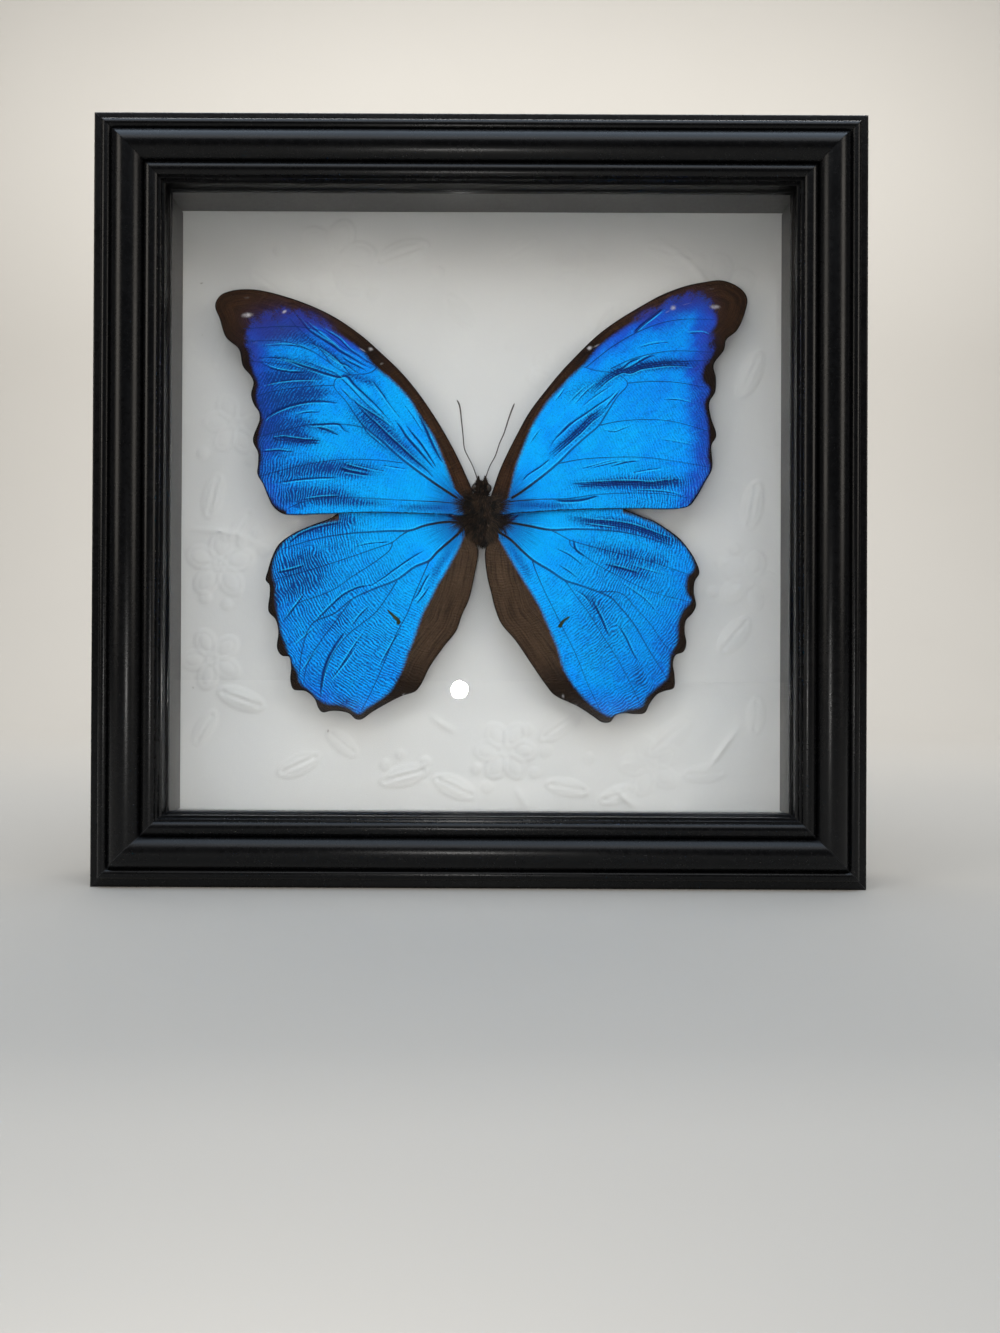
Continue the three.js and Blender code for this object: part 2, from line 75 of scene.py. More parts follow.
FOREWING_LEFT = {
    "outline": [(-1.9, 3.5), (-4.4, 9.8), (-8.2, 17.4), (-12.6, 24.8), (-17, 31.1), (-21.4, 36.4),
        (-25.6, 40.5), (-32.9, 47), (-41.2, 52.4), (-51, 56.6), (-59.5, 58.8), (-63.5, 59.2),
        (-67.5, 58.9), (-70.9, 57.6), (-72.3, 54.9), (-71.1, 51.3), (-69.3, 46.2), (-65.8, 43),
        (-64.7, 38.4), (-62.5, 35.7), (-61.7, 33.8), (-62.3, 30.5), (-61.5, 27.8), (-60.2, 25.9),
        (-60, 23.7), (-61.7, 18.1), (-60.3, 14.7), (-60.3, 11.8), (-60.5, 9.1), (-58.9, 6.2),
        (-57.7, 3.3), (-56, 0.1), (-53.3, -1.8), (-50.5, -2.1), (-43.6, -1.9), (-27.4, -1.4),
        (-9.7, -1.7), (-1.9, -1.4)],
    "blue_edge": [(-7.6, 5.9), (-9.9, 12), (-13.3, 19.8), (-16.9, 25.1), (-19.4, 29.2), (-24.2, 34.3),
        (-28.9, 38.1), (-32.8, 42.7), (-37.6, 46.1), (-42.5, 49), (-46.8, 51.3), (-50.4, 52.9),
        (-54.2, 52.4), (-59.2, 50.7), (-62.6, 48.1), (-63.7, 45.3), (-62.6, 43.1), (-62, 39.9),
        (-61.6, 36.9), (-60.3, 33.6), (-60.7, 30.2), (-59.9, 26.6), (-59, 23.6), (-59.7, 20.3),
        (-60, 16.9), (-59.2, 14.1), (-59.8, 9.9), (-58.9, 6.2), (-56.8, 2.8), (-55.2, 0.5),
        (-52.5, -0.8)],
    "veins": [
        [(-6.6, 3), (-10.2, 5.2), (-15.1, 8.5), (-21.7, 13.4), (-26.8, 18), (-32.2, 22.6),
         (-36.3, 28.4), (-39.7, 32.7), (-39.3, 34.7), (-38.1, 35.1)],
        [(-28.1, 37.9), (-29.7, 36.6), (-32.4, 36), (-35.4, 35.8), (-38.1, 35.1)],
        [(-39.8, 33), (-45.1, 32.8), (-50.9, 32.3), (-56, 31.5), (-60.3, 30.4)],
        [(-32, 21.6), (-35.6, 22.3), (-38.8, 22.5), (-46, 22.4), (-52.9, 20.9), (-60.2, 19.1)],
        [(-21.4, 12.1), (-27.4, 12.8), (-36.3, 13), (-43.5, 12.2), (-51.2, 10.7), (-59.9, 8.4)],
        [(-6.2, 1.5), (-13.8, 1.8), (-22.3, 2.1), (-30, 2.5), (-36.8, 2.6), (-47.9, 1.5), (-52, -0.3)],
        [(-38.1, 35.1), (-42.2, 36.3), (-45.9, 37.1), (-53.2, 38.7), (-62, 39.7)],
        [(-40, 38.3), (-42.3, 40), (-46, 42.4), (-50.8, 44.4), (-55.2, 45.2), (-63.6, 45.1)],
        [(-28.3, 38.1), (-32.9, 40.8), (-37.8, 43.8), (-42.3, 47.3), (-47.2, 48.7), (-53.2, 49.1),
         (-64.5, 48.5)],
        [(-35.4, 35.8), (-38.1, 37.2), (-40, 38.3), (-43.3, 42.4), (-47.1, 46.2), (-50.4, 49.4),
         (-52, 51.3)],
    ],
    "stems": (0,),
    "ripple": (0.45, 16),
    "pleats": [
        (0.34, 1, [(-51.1, 53.1), (-49.2, 50.9), (-46.7, 48), (-43.5, 45.9), (-40.4, 43.9),
         (-38.4, 42.4), (-35.4, 40.7), (-32.5, 39), (-29.5, 37.5)]),
        (0.2, 1, [(-48.1, 50.7), (-45, 48.2), (-41.7, 45.5), (-38.4, 43)]),
        (0.22, -1, [(-44.6, 43.6), (-41.7, 41.6), (-38.4, 39.3), (-36.6, 38.7), (-33.6, 36.6),
         (-31.3, 36)]),
        (0.22, -1, [(-47.1, 44.7), (-43.7, 43.6), (-40.4, 41.4), (-38.4, 39.7), (-36.9, 37.8),
         (-35.4, 36), (-33.6, 34.6)]),
        (0.36, -1, [(-61, 40.4), (-57, 40.7), (-52.9, 40.3), (-48.7, 38.6), (-44.5, 37), (-40.4, 35.7),
         (-38.3, 35.3), (-36.6, 35.6), (-34.2, 33.1), (-31, 30.1), (-28, 27.2), (-25.1, 24),
         (-23.6, 22.5)]),
        (0.26, 1, [(-55.4, 40.3), (-51.2, 39.2), (-47, 37.8), (-42.9, 36.6)]),
        (0.2, 1, [(-50.4, 40.4), (-47, 39.2), (-42.9, 37.6), (-39.1, 36), (-38.1, 35.1), (-35.4, 32.5),
         (-32.4, 29.3), (-29.8, 26.8), (-26.5, 24.3), (-23.9, 22.5)]),
        (0.24, 1, [(-59.9, 39.2), (-56.2, 37.5), (-52, 36.7), (-47, 36.5)]),
        (0.36, -1, [(-59.2, 23.4), (-56.9, 25.3), (-53.6, 26.9), (-50.3, 28), (-47, 28.6),
         (-42.8, 28.7), (-38.3, 28.1)]),
        (0.34, 1, [(-44.9, 21.8), (-42, 21), (-38.3, 19.5)]),
        (0.3, -1, [(-47, 22.2), (-43.6, 22.4), (-38.3, 22.4), (-37.1, 21), (-35.3, 20.1)]),
        (0.55, 1, [(-56.9, 18.2), (-53.6, 18.6), (-50.3, 18.2), (-46.9, 17.8), (-43.2, 17.8)]),
        (0.22, 1, [(-37.4, 31.9), (-34.8, 29.2), (-32.4, 27.2), (-30.1, 25.7), (-26.5, 23.4),
         (-24.2, 21.6), (-22.4, 20.2)]),
        (0.38, 1, [(-23.3, 23.7), (-21.8, 21.7), (-20, 19), (-17.7, 16.4), (-15, 13.4), (-12.3, 10.2)]),
        (0.32, 1, [(-20.6, 22.8), (-18.9, 20.5), (-16.5, 17.6), (-13.8, 13.7), (-11.8, 10.5)]),
        (0.16, -1, [(-28.3, 32.8), (-26, 29.6), (-23.6, 26.4), (-21.2, 23.4)]),
        (0.36, 1, [(-17.1, 25.2), (-15.3, 22), (-13.6, 18.2), (-12.1, 15.2), (-10.3, 12)]),
        (0.2, -1, [(-29.8, 34.9), (-28, 32.5), (-25.4, 29.3)]),
        (0.26, 1, [(-38.4, 41.3), (-36, 39.5), (-33.1, 38.1), (-30.7, 36.8)]),
        (0.26, 1, [(-37.6, 11.9), (-34.7, 11), (-32.3, 10.4), (-29.4, 9.6)]),
        (0.16, -1, [(-35.9, 12.2), (-32.3, 11.3), (-28.5, 10.4), (-25.3, 9.9)]),
        (0.4, 1, [(-38.2, 10.7), (-35.9, 9.8), (-32.9, 9.2), (-30.6, 8.7)]),
        (0.16, -1, [(-27.1, 11.6), (-23.5, 11), (-20, 10.5)]),
        (0.3, 1, [(-34.2, 28.4), (-31.2, 25.1), (-28.3, 22.5), (-25.3, 19.6), (-21.8, 16.4),
         (-18.2, 13.1), (-14.7, 10.2), (-12.3, 7.6)]),
        (0.2, 1, [(-44.6, 49.5), (-41.3, 47.4), (-38.4, 45.5), (-35.4, 42.6), (-32.5, 40.7),
         (-30.1, 38.7)]),
        (0.16, 1, [(-50.3, 24.9), (-47, 25.7), (-43.7, 25.7)]),
        (0.2, 1, [(-33, 23.7), (-30.6, 20.1), (-28.3, 18.1), (-25.6, 15.7)]),
        (0.15, 1, [(-59.5, 43.6), (-53.7, 44), (-48.7, 43.4), (-43.7, 41.1)]),
        (0.15, -1, [(-59.5, 33.2), (-54.5, 34.2), (-48.7, 34.7), (-42.9, 34.5)]),
        (0.2, 1, [(-59.4, 14.9), (-55.2, 15.3), (-50.2, 14.9)]),
        (0.26, -1, [(-55.2, 6.6), (-50.2, 7.4), (-44.4, 7.9), (-38.2, 8.1)]),
        (0.2, 1, [(-47.7, 2), (-42.7, 2.7), (-38.2, 2.9)]),
        (0.3, -1, [(-38.2, 10.1), (-35.6, 9.8), (-32.3, 9.2), (-29.4, 8.8)]),
        (0.14, 1, [(-38.3, 32.5), (-36.6, 30.7), (-34.5, 28.1)]),
        (0.16, 1, [(-21.8, 29), (-19.5, 26.1), (-17.1, 22.6), (-14.7, 18.7)]),
    ],
    "shades": [
        (5, 0.5, [(-60.5, 41), (-58.5, 33), (-56.5, 25), (-56, 14), (-57, 5)]),
        (2.6, 0.6, [(-61, 46), (-56, 46.5), (-50, 46), (-44, 43)]),
        (2.3, 0.8, [(-61.5, 35.3), (-55, 35.6), (-48, 35.3), (-41, 34.6)]),
        (2.4, 0.85, [(-61, 29.5), (-55, 29.2), (-48, 30.4), (-41, 31)]),
        (2.2, 0.75, [(-61, 22), (-55, 22.2), (-49, 22.6), (-43, 23)]),
        (2, 0.8, [(-58, 3), (-52, 3.6), (-46, 3.6), (-38, 3), (-31, 2)]),
        (1.2, 0.85, [(-24, 0.2), (-15, 0.1), (-6, 0.1)]),
        (3, 0.7, [(-37, 29), (-27, 20), (-16, 11)]),
        (2, 0.5, [(-62.5, 40.5), (-54, 39.5), (-46, 38), (-40, 36)]),
        (1.6, 0.7, [(-33, 29), (-27, 22), (-21, 16), (-15, 10)]),
        (1.2, 0.55, [(-52.9, 48.2), (-47.1, 45.7), (-38.4, 39.5), (-34.8, 37.5), (-31.3, 36.9)]),
        (1.7, 0.75, [(-59.9, 34.4), (-53.7, 34), (-48.7, 34.9), (-42.9, 35.3)]),
        (1.4, 0.8, [(-59.5, 30.3), (-53.6, 30.1), (-47.8, 30.9), (-38.3, 30.8)]),
        (1.6, 0.75, [(-59, 25.3), (-54.9, 26.1), (-50.3, 27.4), (-44.5, 28.2)]),
        (1.9, 0.85, [(-59.4, 21.1), (-55.3, 20.3), (-50.3, 19.5), (-44.4, 17.8)]),
        (0.9, 0.6, [(-56.9, 18), (-50.3, 18.2), (-43.2, 17.8)]),
        (1.2, 0.5, [(-47, 22), (-42, 21), (-38.3, 20.2)]),
        (2, 0.95, [(-59.4, 10.7), (-55.2, 9.1), (-50.2, 9.9), (-44.4, 10.6), (-38.2, 10.6), (-31, 10.3),
         (-24, 10.4)]),
        (1.3, 0.8, [(-54.7, -0.1), (-51.8, 2.4), (-48.5, 2), (-50.2, -0.9)]),
        (1, 0.8, [(-48.5, 1.4), (-43.5, 1.6), (-38.2, 1.7), (-30, 1.2), (-22, 1)]),
        (0.9, 0.5, [(-59.9, 35.2), (-59.7, 28.6), (-59.2, 21.1), (-59.6, 10.3), (-58.1, 3.6)]),
        (1, 0.85, [(-34.2, 28.4), (-31.2, 25.1), (-28.3, 22.5), (-25.3, 19.6), (-21.8, 16.4),
         (-18.2, 13.1), (-14.7, 10.2), (-12.3, 7.6)]),
        (1, 0.6, [(-37.8, 36.6), (-34.8, 35.4), (-31.9, 34.6), (-28.6, 33.1), (-27.1, 30.8)]),
        (0.8, 0.6, [(-38.2, 9.2), (-35.3, 8.9), (-31.2, 8.7)]),
        (0.7, 0.6, [(-17.1, 25.2), (-14.7, 20.5), (-12.4, 15.2), (-10.6, 10.2)]),
    ],
    "haze": [
        (3.6, 1, [(-50.4, 53.6), (-55.8, 51.5), (-61.2, 49.8), (-63.7, 47.3)]),
        (2.9, 1, [(-65, 44.5), (-59, 46.5), (-53, 48.5), (-47, 50.5), (-43, 51)]),
        (1.3, 0.8, [(-51.3, 53), (-47.1, 52.6), (-42.1, 49.9), (-38.4, 47.8)]),
        (1.6, 0.6, [(-62.9, 46), (-61.6, 41.9), (-60.8, 37.7)]),
    ],
    "flecks": [(-63.5, 52.2, 1.6, 0.75, 5, 0.8), (-53.4, 53.1, 0.8, 0.45, 30, 0.75),
        (-63.8, 56.9, 1.4, 0.5, 0, 0.3), (-30, 42.9, 0.75, 0.5, -30, 0.85),
        (-32.1, 42.7, 1.3, 0.22, -32, 0.7), (-26.9, 38.9, 0.6, 0.45, 20, 0.45),
        (-61.2, 44.8, 1.6, 0.5, 20, 0.25)],
}

FOREWING_RIGHT = {
    "outline": [(2.7, 3.3), (3.6, 6.2), (5.2, 10.7), (7.5, 15.7), (9.8, 20.2), (13, 25.9), (17.9, 32.5),
        (23.5, 39.1), (30, 45.7), (34, 49), (42.9, 54.9), (51.3, 59.3), (59.7, 61.6), (65.8, 62.2),
        (70.4, 60.1), (72.1, 57.5), (71.6, 54), (69.3, 48.7), (66.3, 46), (65.7, 43.3), (62.9, 39.1),
        (63.5, 35.7), (63.3, 31.8), (61.7, 28.8), (62.1, 25), (63.7, 20), (62.4, 17.3), (62.6, 11.2),
        (60.7, 7.4), (58, 2.7), (56.6, 1), (53.8, 0.1), (40.1, -0.1), (24.8, -0.4), (9.6, -1.3),
        (2.7, -1.4)],
    "blue_edge": [(7.8, 3.1), (8.3, 5.5), (9, 8.7), (9.8, 12), (11.1, 15.3), (12.4, 18.6), (14, 22.3),
        (16, 25.6), (18.2, 28.9), (20.9, 31.8), (23.5, 34.8), (28.1, 39.1), (31.3, 43.1), (34.6, 46),
        (38.4, 48.8), (47.6, 53.8), (51.8, 57.1), (56, 58.1), (59.7, 58.1), (60.7, 57.6), (63, 53.9),
        (63.5, 50.6), (61.6, 47.3), (62.1, 42.6), (60.3, 38.9), (59.8, 35.1), (61.7, 32.4),
        (60.3, 28.6), (61.3, 23), (61.5, 18.3), (61.3, 13.7), (61.8, 10.8), (58.5, 4.8), (56.7, 2.1)],
    "veins": [
        [(8.5, 3), (10.4, 4.1), (15.5, 7.8), (20.7, 12.1), (24.4, 15.8), (28.6, 19.6), (31.8, 22.4),
         (34.2, 26.2), (36.9, 30.4), (39.5, 33.6), (38.3, 35.5), (36, 36.5)],
        [(27.6, 38.3), (30.4, 37.4), (34.1, 36.9), (36, 36.9)],
        [(28.5, 38.3), (35, 43.5), (42, 47.7), (49, 50.5), (55.1, 51.5), (63.1, 51.5)],
        [(41.6, 47.7), (45.8, 51.5), (48.5, 53.8)],
        [(35, 37.8), (39.5, 40), (44.4, 41.6), (51.4, 42.8), (62.5, 42.6)],
        [(36, 36.5), (38.8, 36.9), (44.4, 38.6), (51.4, 39.8), (60.7, 40.3)],
        [(39.5, 33.9), (44.4, 34.4), (51.4, 34.4), (61, 33)],
        [(31.8, 22.4), (37.4, 23.6), (44.4, 24.1), (51.4, 23.7), (61.5, 21.1)],
        [(20.7, 12.1), (27.2, 13.3), (35.1, 13.8), (44.5, 13.8), (53.8, 12.7), (61.8, 11.4)],
        [(7.6, 2), (16.5, 2.5), (23.5, 2.7), (30.5, 3.7), (39.9, 4.2), (49.2, 4), (56.7, 2.9)],
    ],
    "stems": (0,),
    "ripple": (0.6, 12),
    "pleats": [
        (0.72, -1, [(28.8, 30.2), (31.4, 32.9), (34, 35.2), (36, 36.5), (38.3, 37.5), (40.3, 37.3),
         (42.9, 38.4), (46.4, 39), (50.3, 39.5), (54.6, 39.5), (59.3, 39.1)]),
        (0.22, 1, [(37.9, 37.8), (39.9, 39.5), (41.5, 40.3), (43, 40.8)]),
        (0.2, 1, [(38.3, 37.3), (40.6, 38.5), (42.9, 39.8)]),
        (0.8, -1, [(18.3, 13.7), (21.6, 16.7), (24.2, 19), (26.8, 21.3), (29.4, 24), (32.1, 26),
         (34, 27.9)]),
        (0.22, -1, [(18.3, 16), (19.9, 18.7), (21.9, 20.6), (24.8, 23.3), (28.1, 25.6), (31.4, 27.9),
         (34.7, 30.2), (37.5, 32.6)]),
        (0.3, 1, [(20.6, 19.3), (23.5, 22.3), (25.8, 24)]),
        (0.2, 1, [(33.4, 26.9), (35.3, 29.3), (37.6, 32.2)]),
        (0.15, -1, [(26.8, 27.2), (30.1, 29.9), (33.4, 32.2), (36, 33.9)]),
        (0.22, -1, [(10.8, 7.1), (12.7, 9.1), (15.7, 11.1), (19, 13.7)]),
        (0.13, 1, [(20.1, 28.9), (21.5, 30.8), (22.8, 32.5)]),
        (0.13, 1, [(23.5, 28.2), (26.1, 30.9), (28.8, 33.2)]),
        (0.13, 1, [(24.8, 27.6), (27.8, 30.9), (31.4, 34.2)]),
        (0.13, 1, [(26.2, 10.5), (30.2, 11.5), (34.1, 12.6), (36.7, 13.1)]),
        (0.16, 1, [(29.5, 10.8), (33.4, 11.8), (36.7, 12.5), (39.4, 12.8)]),
        (0.2, 1, [(34.8, 11.2), (38, 12.2), (40.7, 12.7), (43.1, 12.8)]),
        (0.36, -1, [(19.7, 2.2), (23.6, 2.1), (27.6, 2.4), (31.8, 3.5)]),
        (0.13, 1, [(13, 17), (14.7, 19.6), (16.3, 21.6)]),
        (0.4, -1, [(41.1, 47.7), (43.3, 49.9), (45.5, 51.6), (48, 53.6), (49.3, 54.6)]),
        (0.26, 1, [(40.3, 38.1), (42.9, 39.9), (45.9, 41.4), (47.2, 41.6)]),
        (0.14, 1, [(55, 47.5), (57.6, 47.8), (60.2, 47.8), (62.3, 46.9)]),
        (0.12, 1, [(49, 29.5), (53.3, 29.5), (57.7, 28.3)]),
        (0.12, 1, [(47.7, 18.7), (52.5, 18.1), (57.7, 17)]),
        (0.16, -1, [(40.4, 9.6), (44.8, 10.5), (49.1, 11.1)]),
        (0.16, 1, [(40.4, 4.8), (45.6, 4.8), (50.8, 4.4), (55.2, 3.2)]),
        (0.6, 1, [(23.6, 6.2), (29.5, 6.5), (33.5, 6.7), (38.1, 6.9), (43.2, 6.8), (45.6, 6.6),
         (50.8, 7.2), (55.1, 7.5)]),
        (0.13, 1, [(32.1, 21.3), (36, 20.7), (38.7, 21.7), (41.3, 22.7)]),
        (0.13, 1, [(42, 43.4), (46.4, 44.7), (51.5, 45.3)]),
    ],
    "shades": [
        (3, 0.35, [(60, 50), (60.5, 42), (59.5, 34), (60, 25), (60, 14), (58, 6)]),
        (1.6, 0.28, [(20.9, 30.2), (24.8, 31.2), (29.4, 33.2), (33, 35.5)]),
        (1.2, 0.9, [(6, 1.6), (12, 1), (19, 0.7), (27, 0.9)]),
        (1.3, 0.9, [(23.6, 6.2), (29.5, 6.5), (33.5, 6.7), (38.1, 6.9), (43.2, 6.8), (45.6, 6.6),
         (50.8, 7.2), (55.1, 7.5), (59, 7.9)]),
        (1.2, 0.6, [(40.3, 38.4), (46.8, 39), (53.3, 39.1), (58.9, 38.4)]),
    ],
    "haze": [
        (2.6, 0.75, [(48.1, 52.9), (53.2, 55.3), (58.4, 56.6), (61.9, 55.1), (63.6, 52.5)]),
        (1.2, 0.7, [(40.3, 50.7), (44.6, 53.3), (48, 54.9)]),
        (1.4, 0.6, [(63.2, 48.6), (62.4, 44.3), (59.8, 39.1)]),
    ],
    "flecks": [(52, 54.7, 0.95, 0.75, 20, 0.8), (55.4, 55.7, 1.9, 0.16, 14, 0.5),
        (63.2, 55, 1.5, 0.7, -3, 0.75), (62.3, 60, 1.4, 0.5, 0, 0.3), (29.2, 43.4, 0.8, 0.55, 20, 0.85),
        (31.2, 44.1, 1.3, 0.3, 30, 0.55), (50.4, 53.6, 0.8, 0.25, 30, 0.5)],
}

HINDWING_LEFT = {
    "outline": [(-2.5, 0.6), (-20, 3.4), (-33, 1.9), (-40.9, -2.9), (-45.7, -4.7), (-49.8, -6.5),
        (-53, -8.5), (-54.9, -10.2), (-56.4, -13.1), (-57.6, -17), (-58.2, -19.6), (-57.2, -20.9),
        (-57.1, -23.6), (-57.5, -28), (-55.6, -30.2), (-54.7, -33.4), (-55, -38.2), (-53.7, -40.1),
        (-51.8, -40.4), (-51.3, -42.9), (-51.5, -46.8), (-50.6, -49.2), (-47.3, -49.7), (-44.8, -51.8),
        (-43.8, -54.3), (-42.7, -55.4), (-40.3, -55), (-37.6, -55.1), (-35.4, -55.7), (-33.7, -57.2),
        (-32.2, -57.3), (-29.4, -55.4), (-24.8, -52.7), (-21, -50.8), (-17.5, -49.6), (-16, -47.8),
        (-13.6, -43), (-9.9, -37.6), (-6.5, -33.2), (-4.9, -28.8), (-3.1, -24.7), (-1.5, -17.7),
        (-0.6, -11.5), (-1.5, -8.4), (-2, -5.5), (-2.5, -2)],
    "blue_edge": [(-38.3, -3.4), (-43.2, -4.5), (-47.8, -6), (-51.6, -8), (-54.3, -11), (-55.8, -14.1),
        (-56.2, -17.6), (-55.5, -20.7), (-55.4, -25.4), (-54.5, -30.1), (-53.6, -34.4), (-52.3, -37.9),
        (-51.3, -41), (-49.5, -44.5), (-48.7, -47.3), (-45.6, -49.8), (-44, -51.5), (-41.7, -52.9),
        (-38.1, -53.2), (-35, -54.2), (-33.1, -55.6), (-30.3, -53.8), (-26.1, -51), (-24.1, -49.1),
        (-22.6, -46.5), (-21, -43.4), (-19.6, -39.2), (-18.1, -35.6), (-15.6, -28.4), (-13.7, -24.8),
        (-11.8, -20.9), (-9.5, -17), (-7.8, -13.9), (-6.1, -10.5), (-4.7, -6.9)],
    "veins": [
        [(-4.8, -3.9), (-8.8, -3.5), (-15.3, -4.7), (-19, -6), (-24.7, -6.2), (-29.9, -6.5),
         (-35, -6.9), (-43.7, -8.3), (-53.5, -11.1)],
        [(-19.2, -6), (-21.7, -7.5), (-23.8, -9.2), (-27.9, -10.7), (-32.3, -12.3), (-39.6, -14.8),
         (-47.7, -17.3), (-56.2, -19.5)],
        [(-23.8, -9.2), (-24.2, -10.7), (-25, -11.8), (-29.9, -15.5), (-34.7, -18.6), (-39.6, -22.1),
         (-44.7, -24.2), (-49.6, -26.1), (-53.3, -30.7)],
        [(-5.1, -5.7), (-8.3, -8.7), (-11.7, -11.8), (-13.9, -14.2), (-17.7, -15.9), (-22.6, -19.4),
         (-29.8, -22.3), (-34.7, -24.7), (-39.5, -28.6), (-45.5, -31.4), (-48.2, -38.5), (-49, -45.1)],
        [(-22.6, -19.8), (-25.5, -24.5), (-28.6, -28.6), (-32.2, -31.4), (-35.5, -34.1), (-39.1, -38.5),
         (-41.5, -43.4), (-42.9, -48), (-43.4, -52.3)],
        [(-13.9, -14.4), (-15.8, -18.8), (-17.7, -23.2), (-19.9, -28.8), (-22.4, -33.5), (-24.5, -38.2),
         (-26.9, -44.2), (-29.8, -50.5), (-32.1, -54.7)],
        [(-34.7, -24.7), (-39.2, -30.8), (-43, -35.8), (-46.8, -42.3), (-47.9, -47.7)],
    ],
    "stems": (0, 3),
    "ripple": (0.95, 60),
    "pleats": [
        (0.5, 1, [(-9.6, -0.9), (-7.8, -1.9), (-5.6, -3.3)]),
        (0.22, -1, [(-30, -21.2), (-26.8, -19.2), (-22.8, -16.3), (-18.8, -13.5), (-14.8, -11.1)]),
        (0.26, 1, [(-45.1, -31.2), (-41.1, -27.2), (-37.1, -23.6), (-33.1, -21.6), (-28.8, -20.8)]),
        (0.42, -1, [(-36.3, -33.2), (-38.7, -36.4), (-40.6, -39.6), (-42.2, -43.6), (-43, -47.5),
         (-43.4, -51.1)]),
        (0.2, 1, [(-34.7, -32), (-32.3, -28.8), (-29.9, -26.4)]),
        (0.2, 1, [(-47.5, -23.2), (-49.9, -26.4), (-52.7, -30.4)]),
        (0.13, 1, [(-50.6, -37.6), (-47.4, -34.8), (-44.3, -32)]),
        (0.13, 1, [(-48.6, -44.8), (-45.8, -40.8), (-43.8, -38)]),
        (0.22, -1, [(-18.4, -25.1), (-16.8, -23.1), (-15.2, -19.9), (-13.7, -17.5)]),
        (0.2, 1, [(-17.6, -26.3), (-15.6, -23.9), (-13.7, -21.1)]),
        (0.16, 1, [(-27.5, -43.5), (-24.3, -37.5), (-21.1, -32.3)]),
        (0.14, 1, [(-39, -45.1), (-34.7, -38.3), (-30.7, -32.7)]),
        (0.3, 1, [(-52.4, -10.1), (-48.8, -7.3), (-43.6, -5.3), (-37.2, -4)]),
        (0.3, 1, [(-55.1, -17.7), (-51.5, -16.9), (-47.5, -15.7)]),
        (0.16, -1, [(-41, -47.1), (-37, -42.3), (-33.1, -36.7)]),
        (0.14, 1, [(-34.8, -10.8), (-30, -9.6), (-24.4, -9.2)]),
    ],
    "shades": [
        (1.3, 0.75, [(-6.3, -7.5), (-8.2, -10.8), (-10.3, -14.2), (-12.4, -18), (-14.2, -22.5)]),
        (1.7, 0.95, [(-52.8, -9.3), (-48.8, -6.5), (-43.6, -4.7), (-38, -3.6), (-32.4, -3)]),
        (3.5, 1, [(-55.9, -18.5), (-52.3, -17.7), (-48.3, -16.5), (-44.4, -14.4), (-42, -12.4)]),
        (1.8, 0.7, [(-55.5, -24.9), (-50.7, -22.1), (-45.9, -20), (-41.9, -17.6)]),
        (1.2, 0.6, [(-56.7, -20.1), (-55.9, -23.3), (-54.7, -28.1)]),
        (1.5, 0.3, [(-42.7, -33.6), (-38.7, -31.2), (-34.7, -28)]),
        (1.2, 0.35, [(-40.2, -51.5), (-34.6, -53.1), (-32.2, -54.3)]),
    ],
    # the first fleck is a painted glint, a small shiny spot at the wing's base that catches the light
    "flecks": [(-7.8, -1.5, 0.6, 0.22, -30, 0.8), (-20.7, -50.4, 0.5, 0.3, 30, 0.7),
        (-24, -52.6, 0.6, 0.3, 20, 0.7), (-18.9, -49.8, 0.4, 0.2, 20, 0.4)],
    "tear": [(-25, -27.7), (-23.7, -29), (-22.2, -30.4), (-22.1, -31)],
}

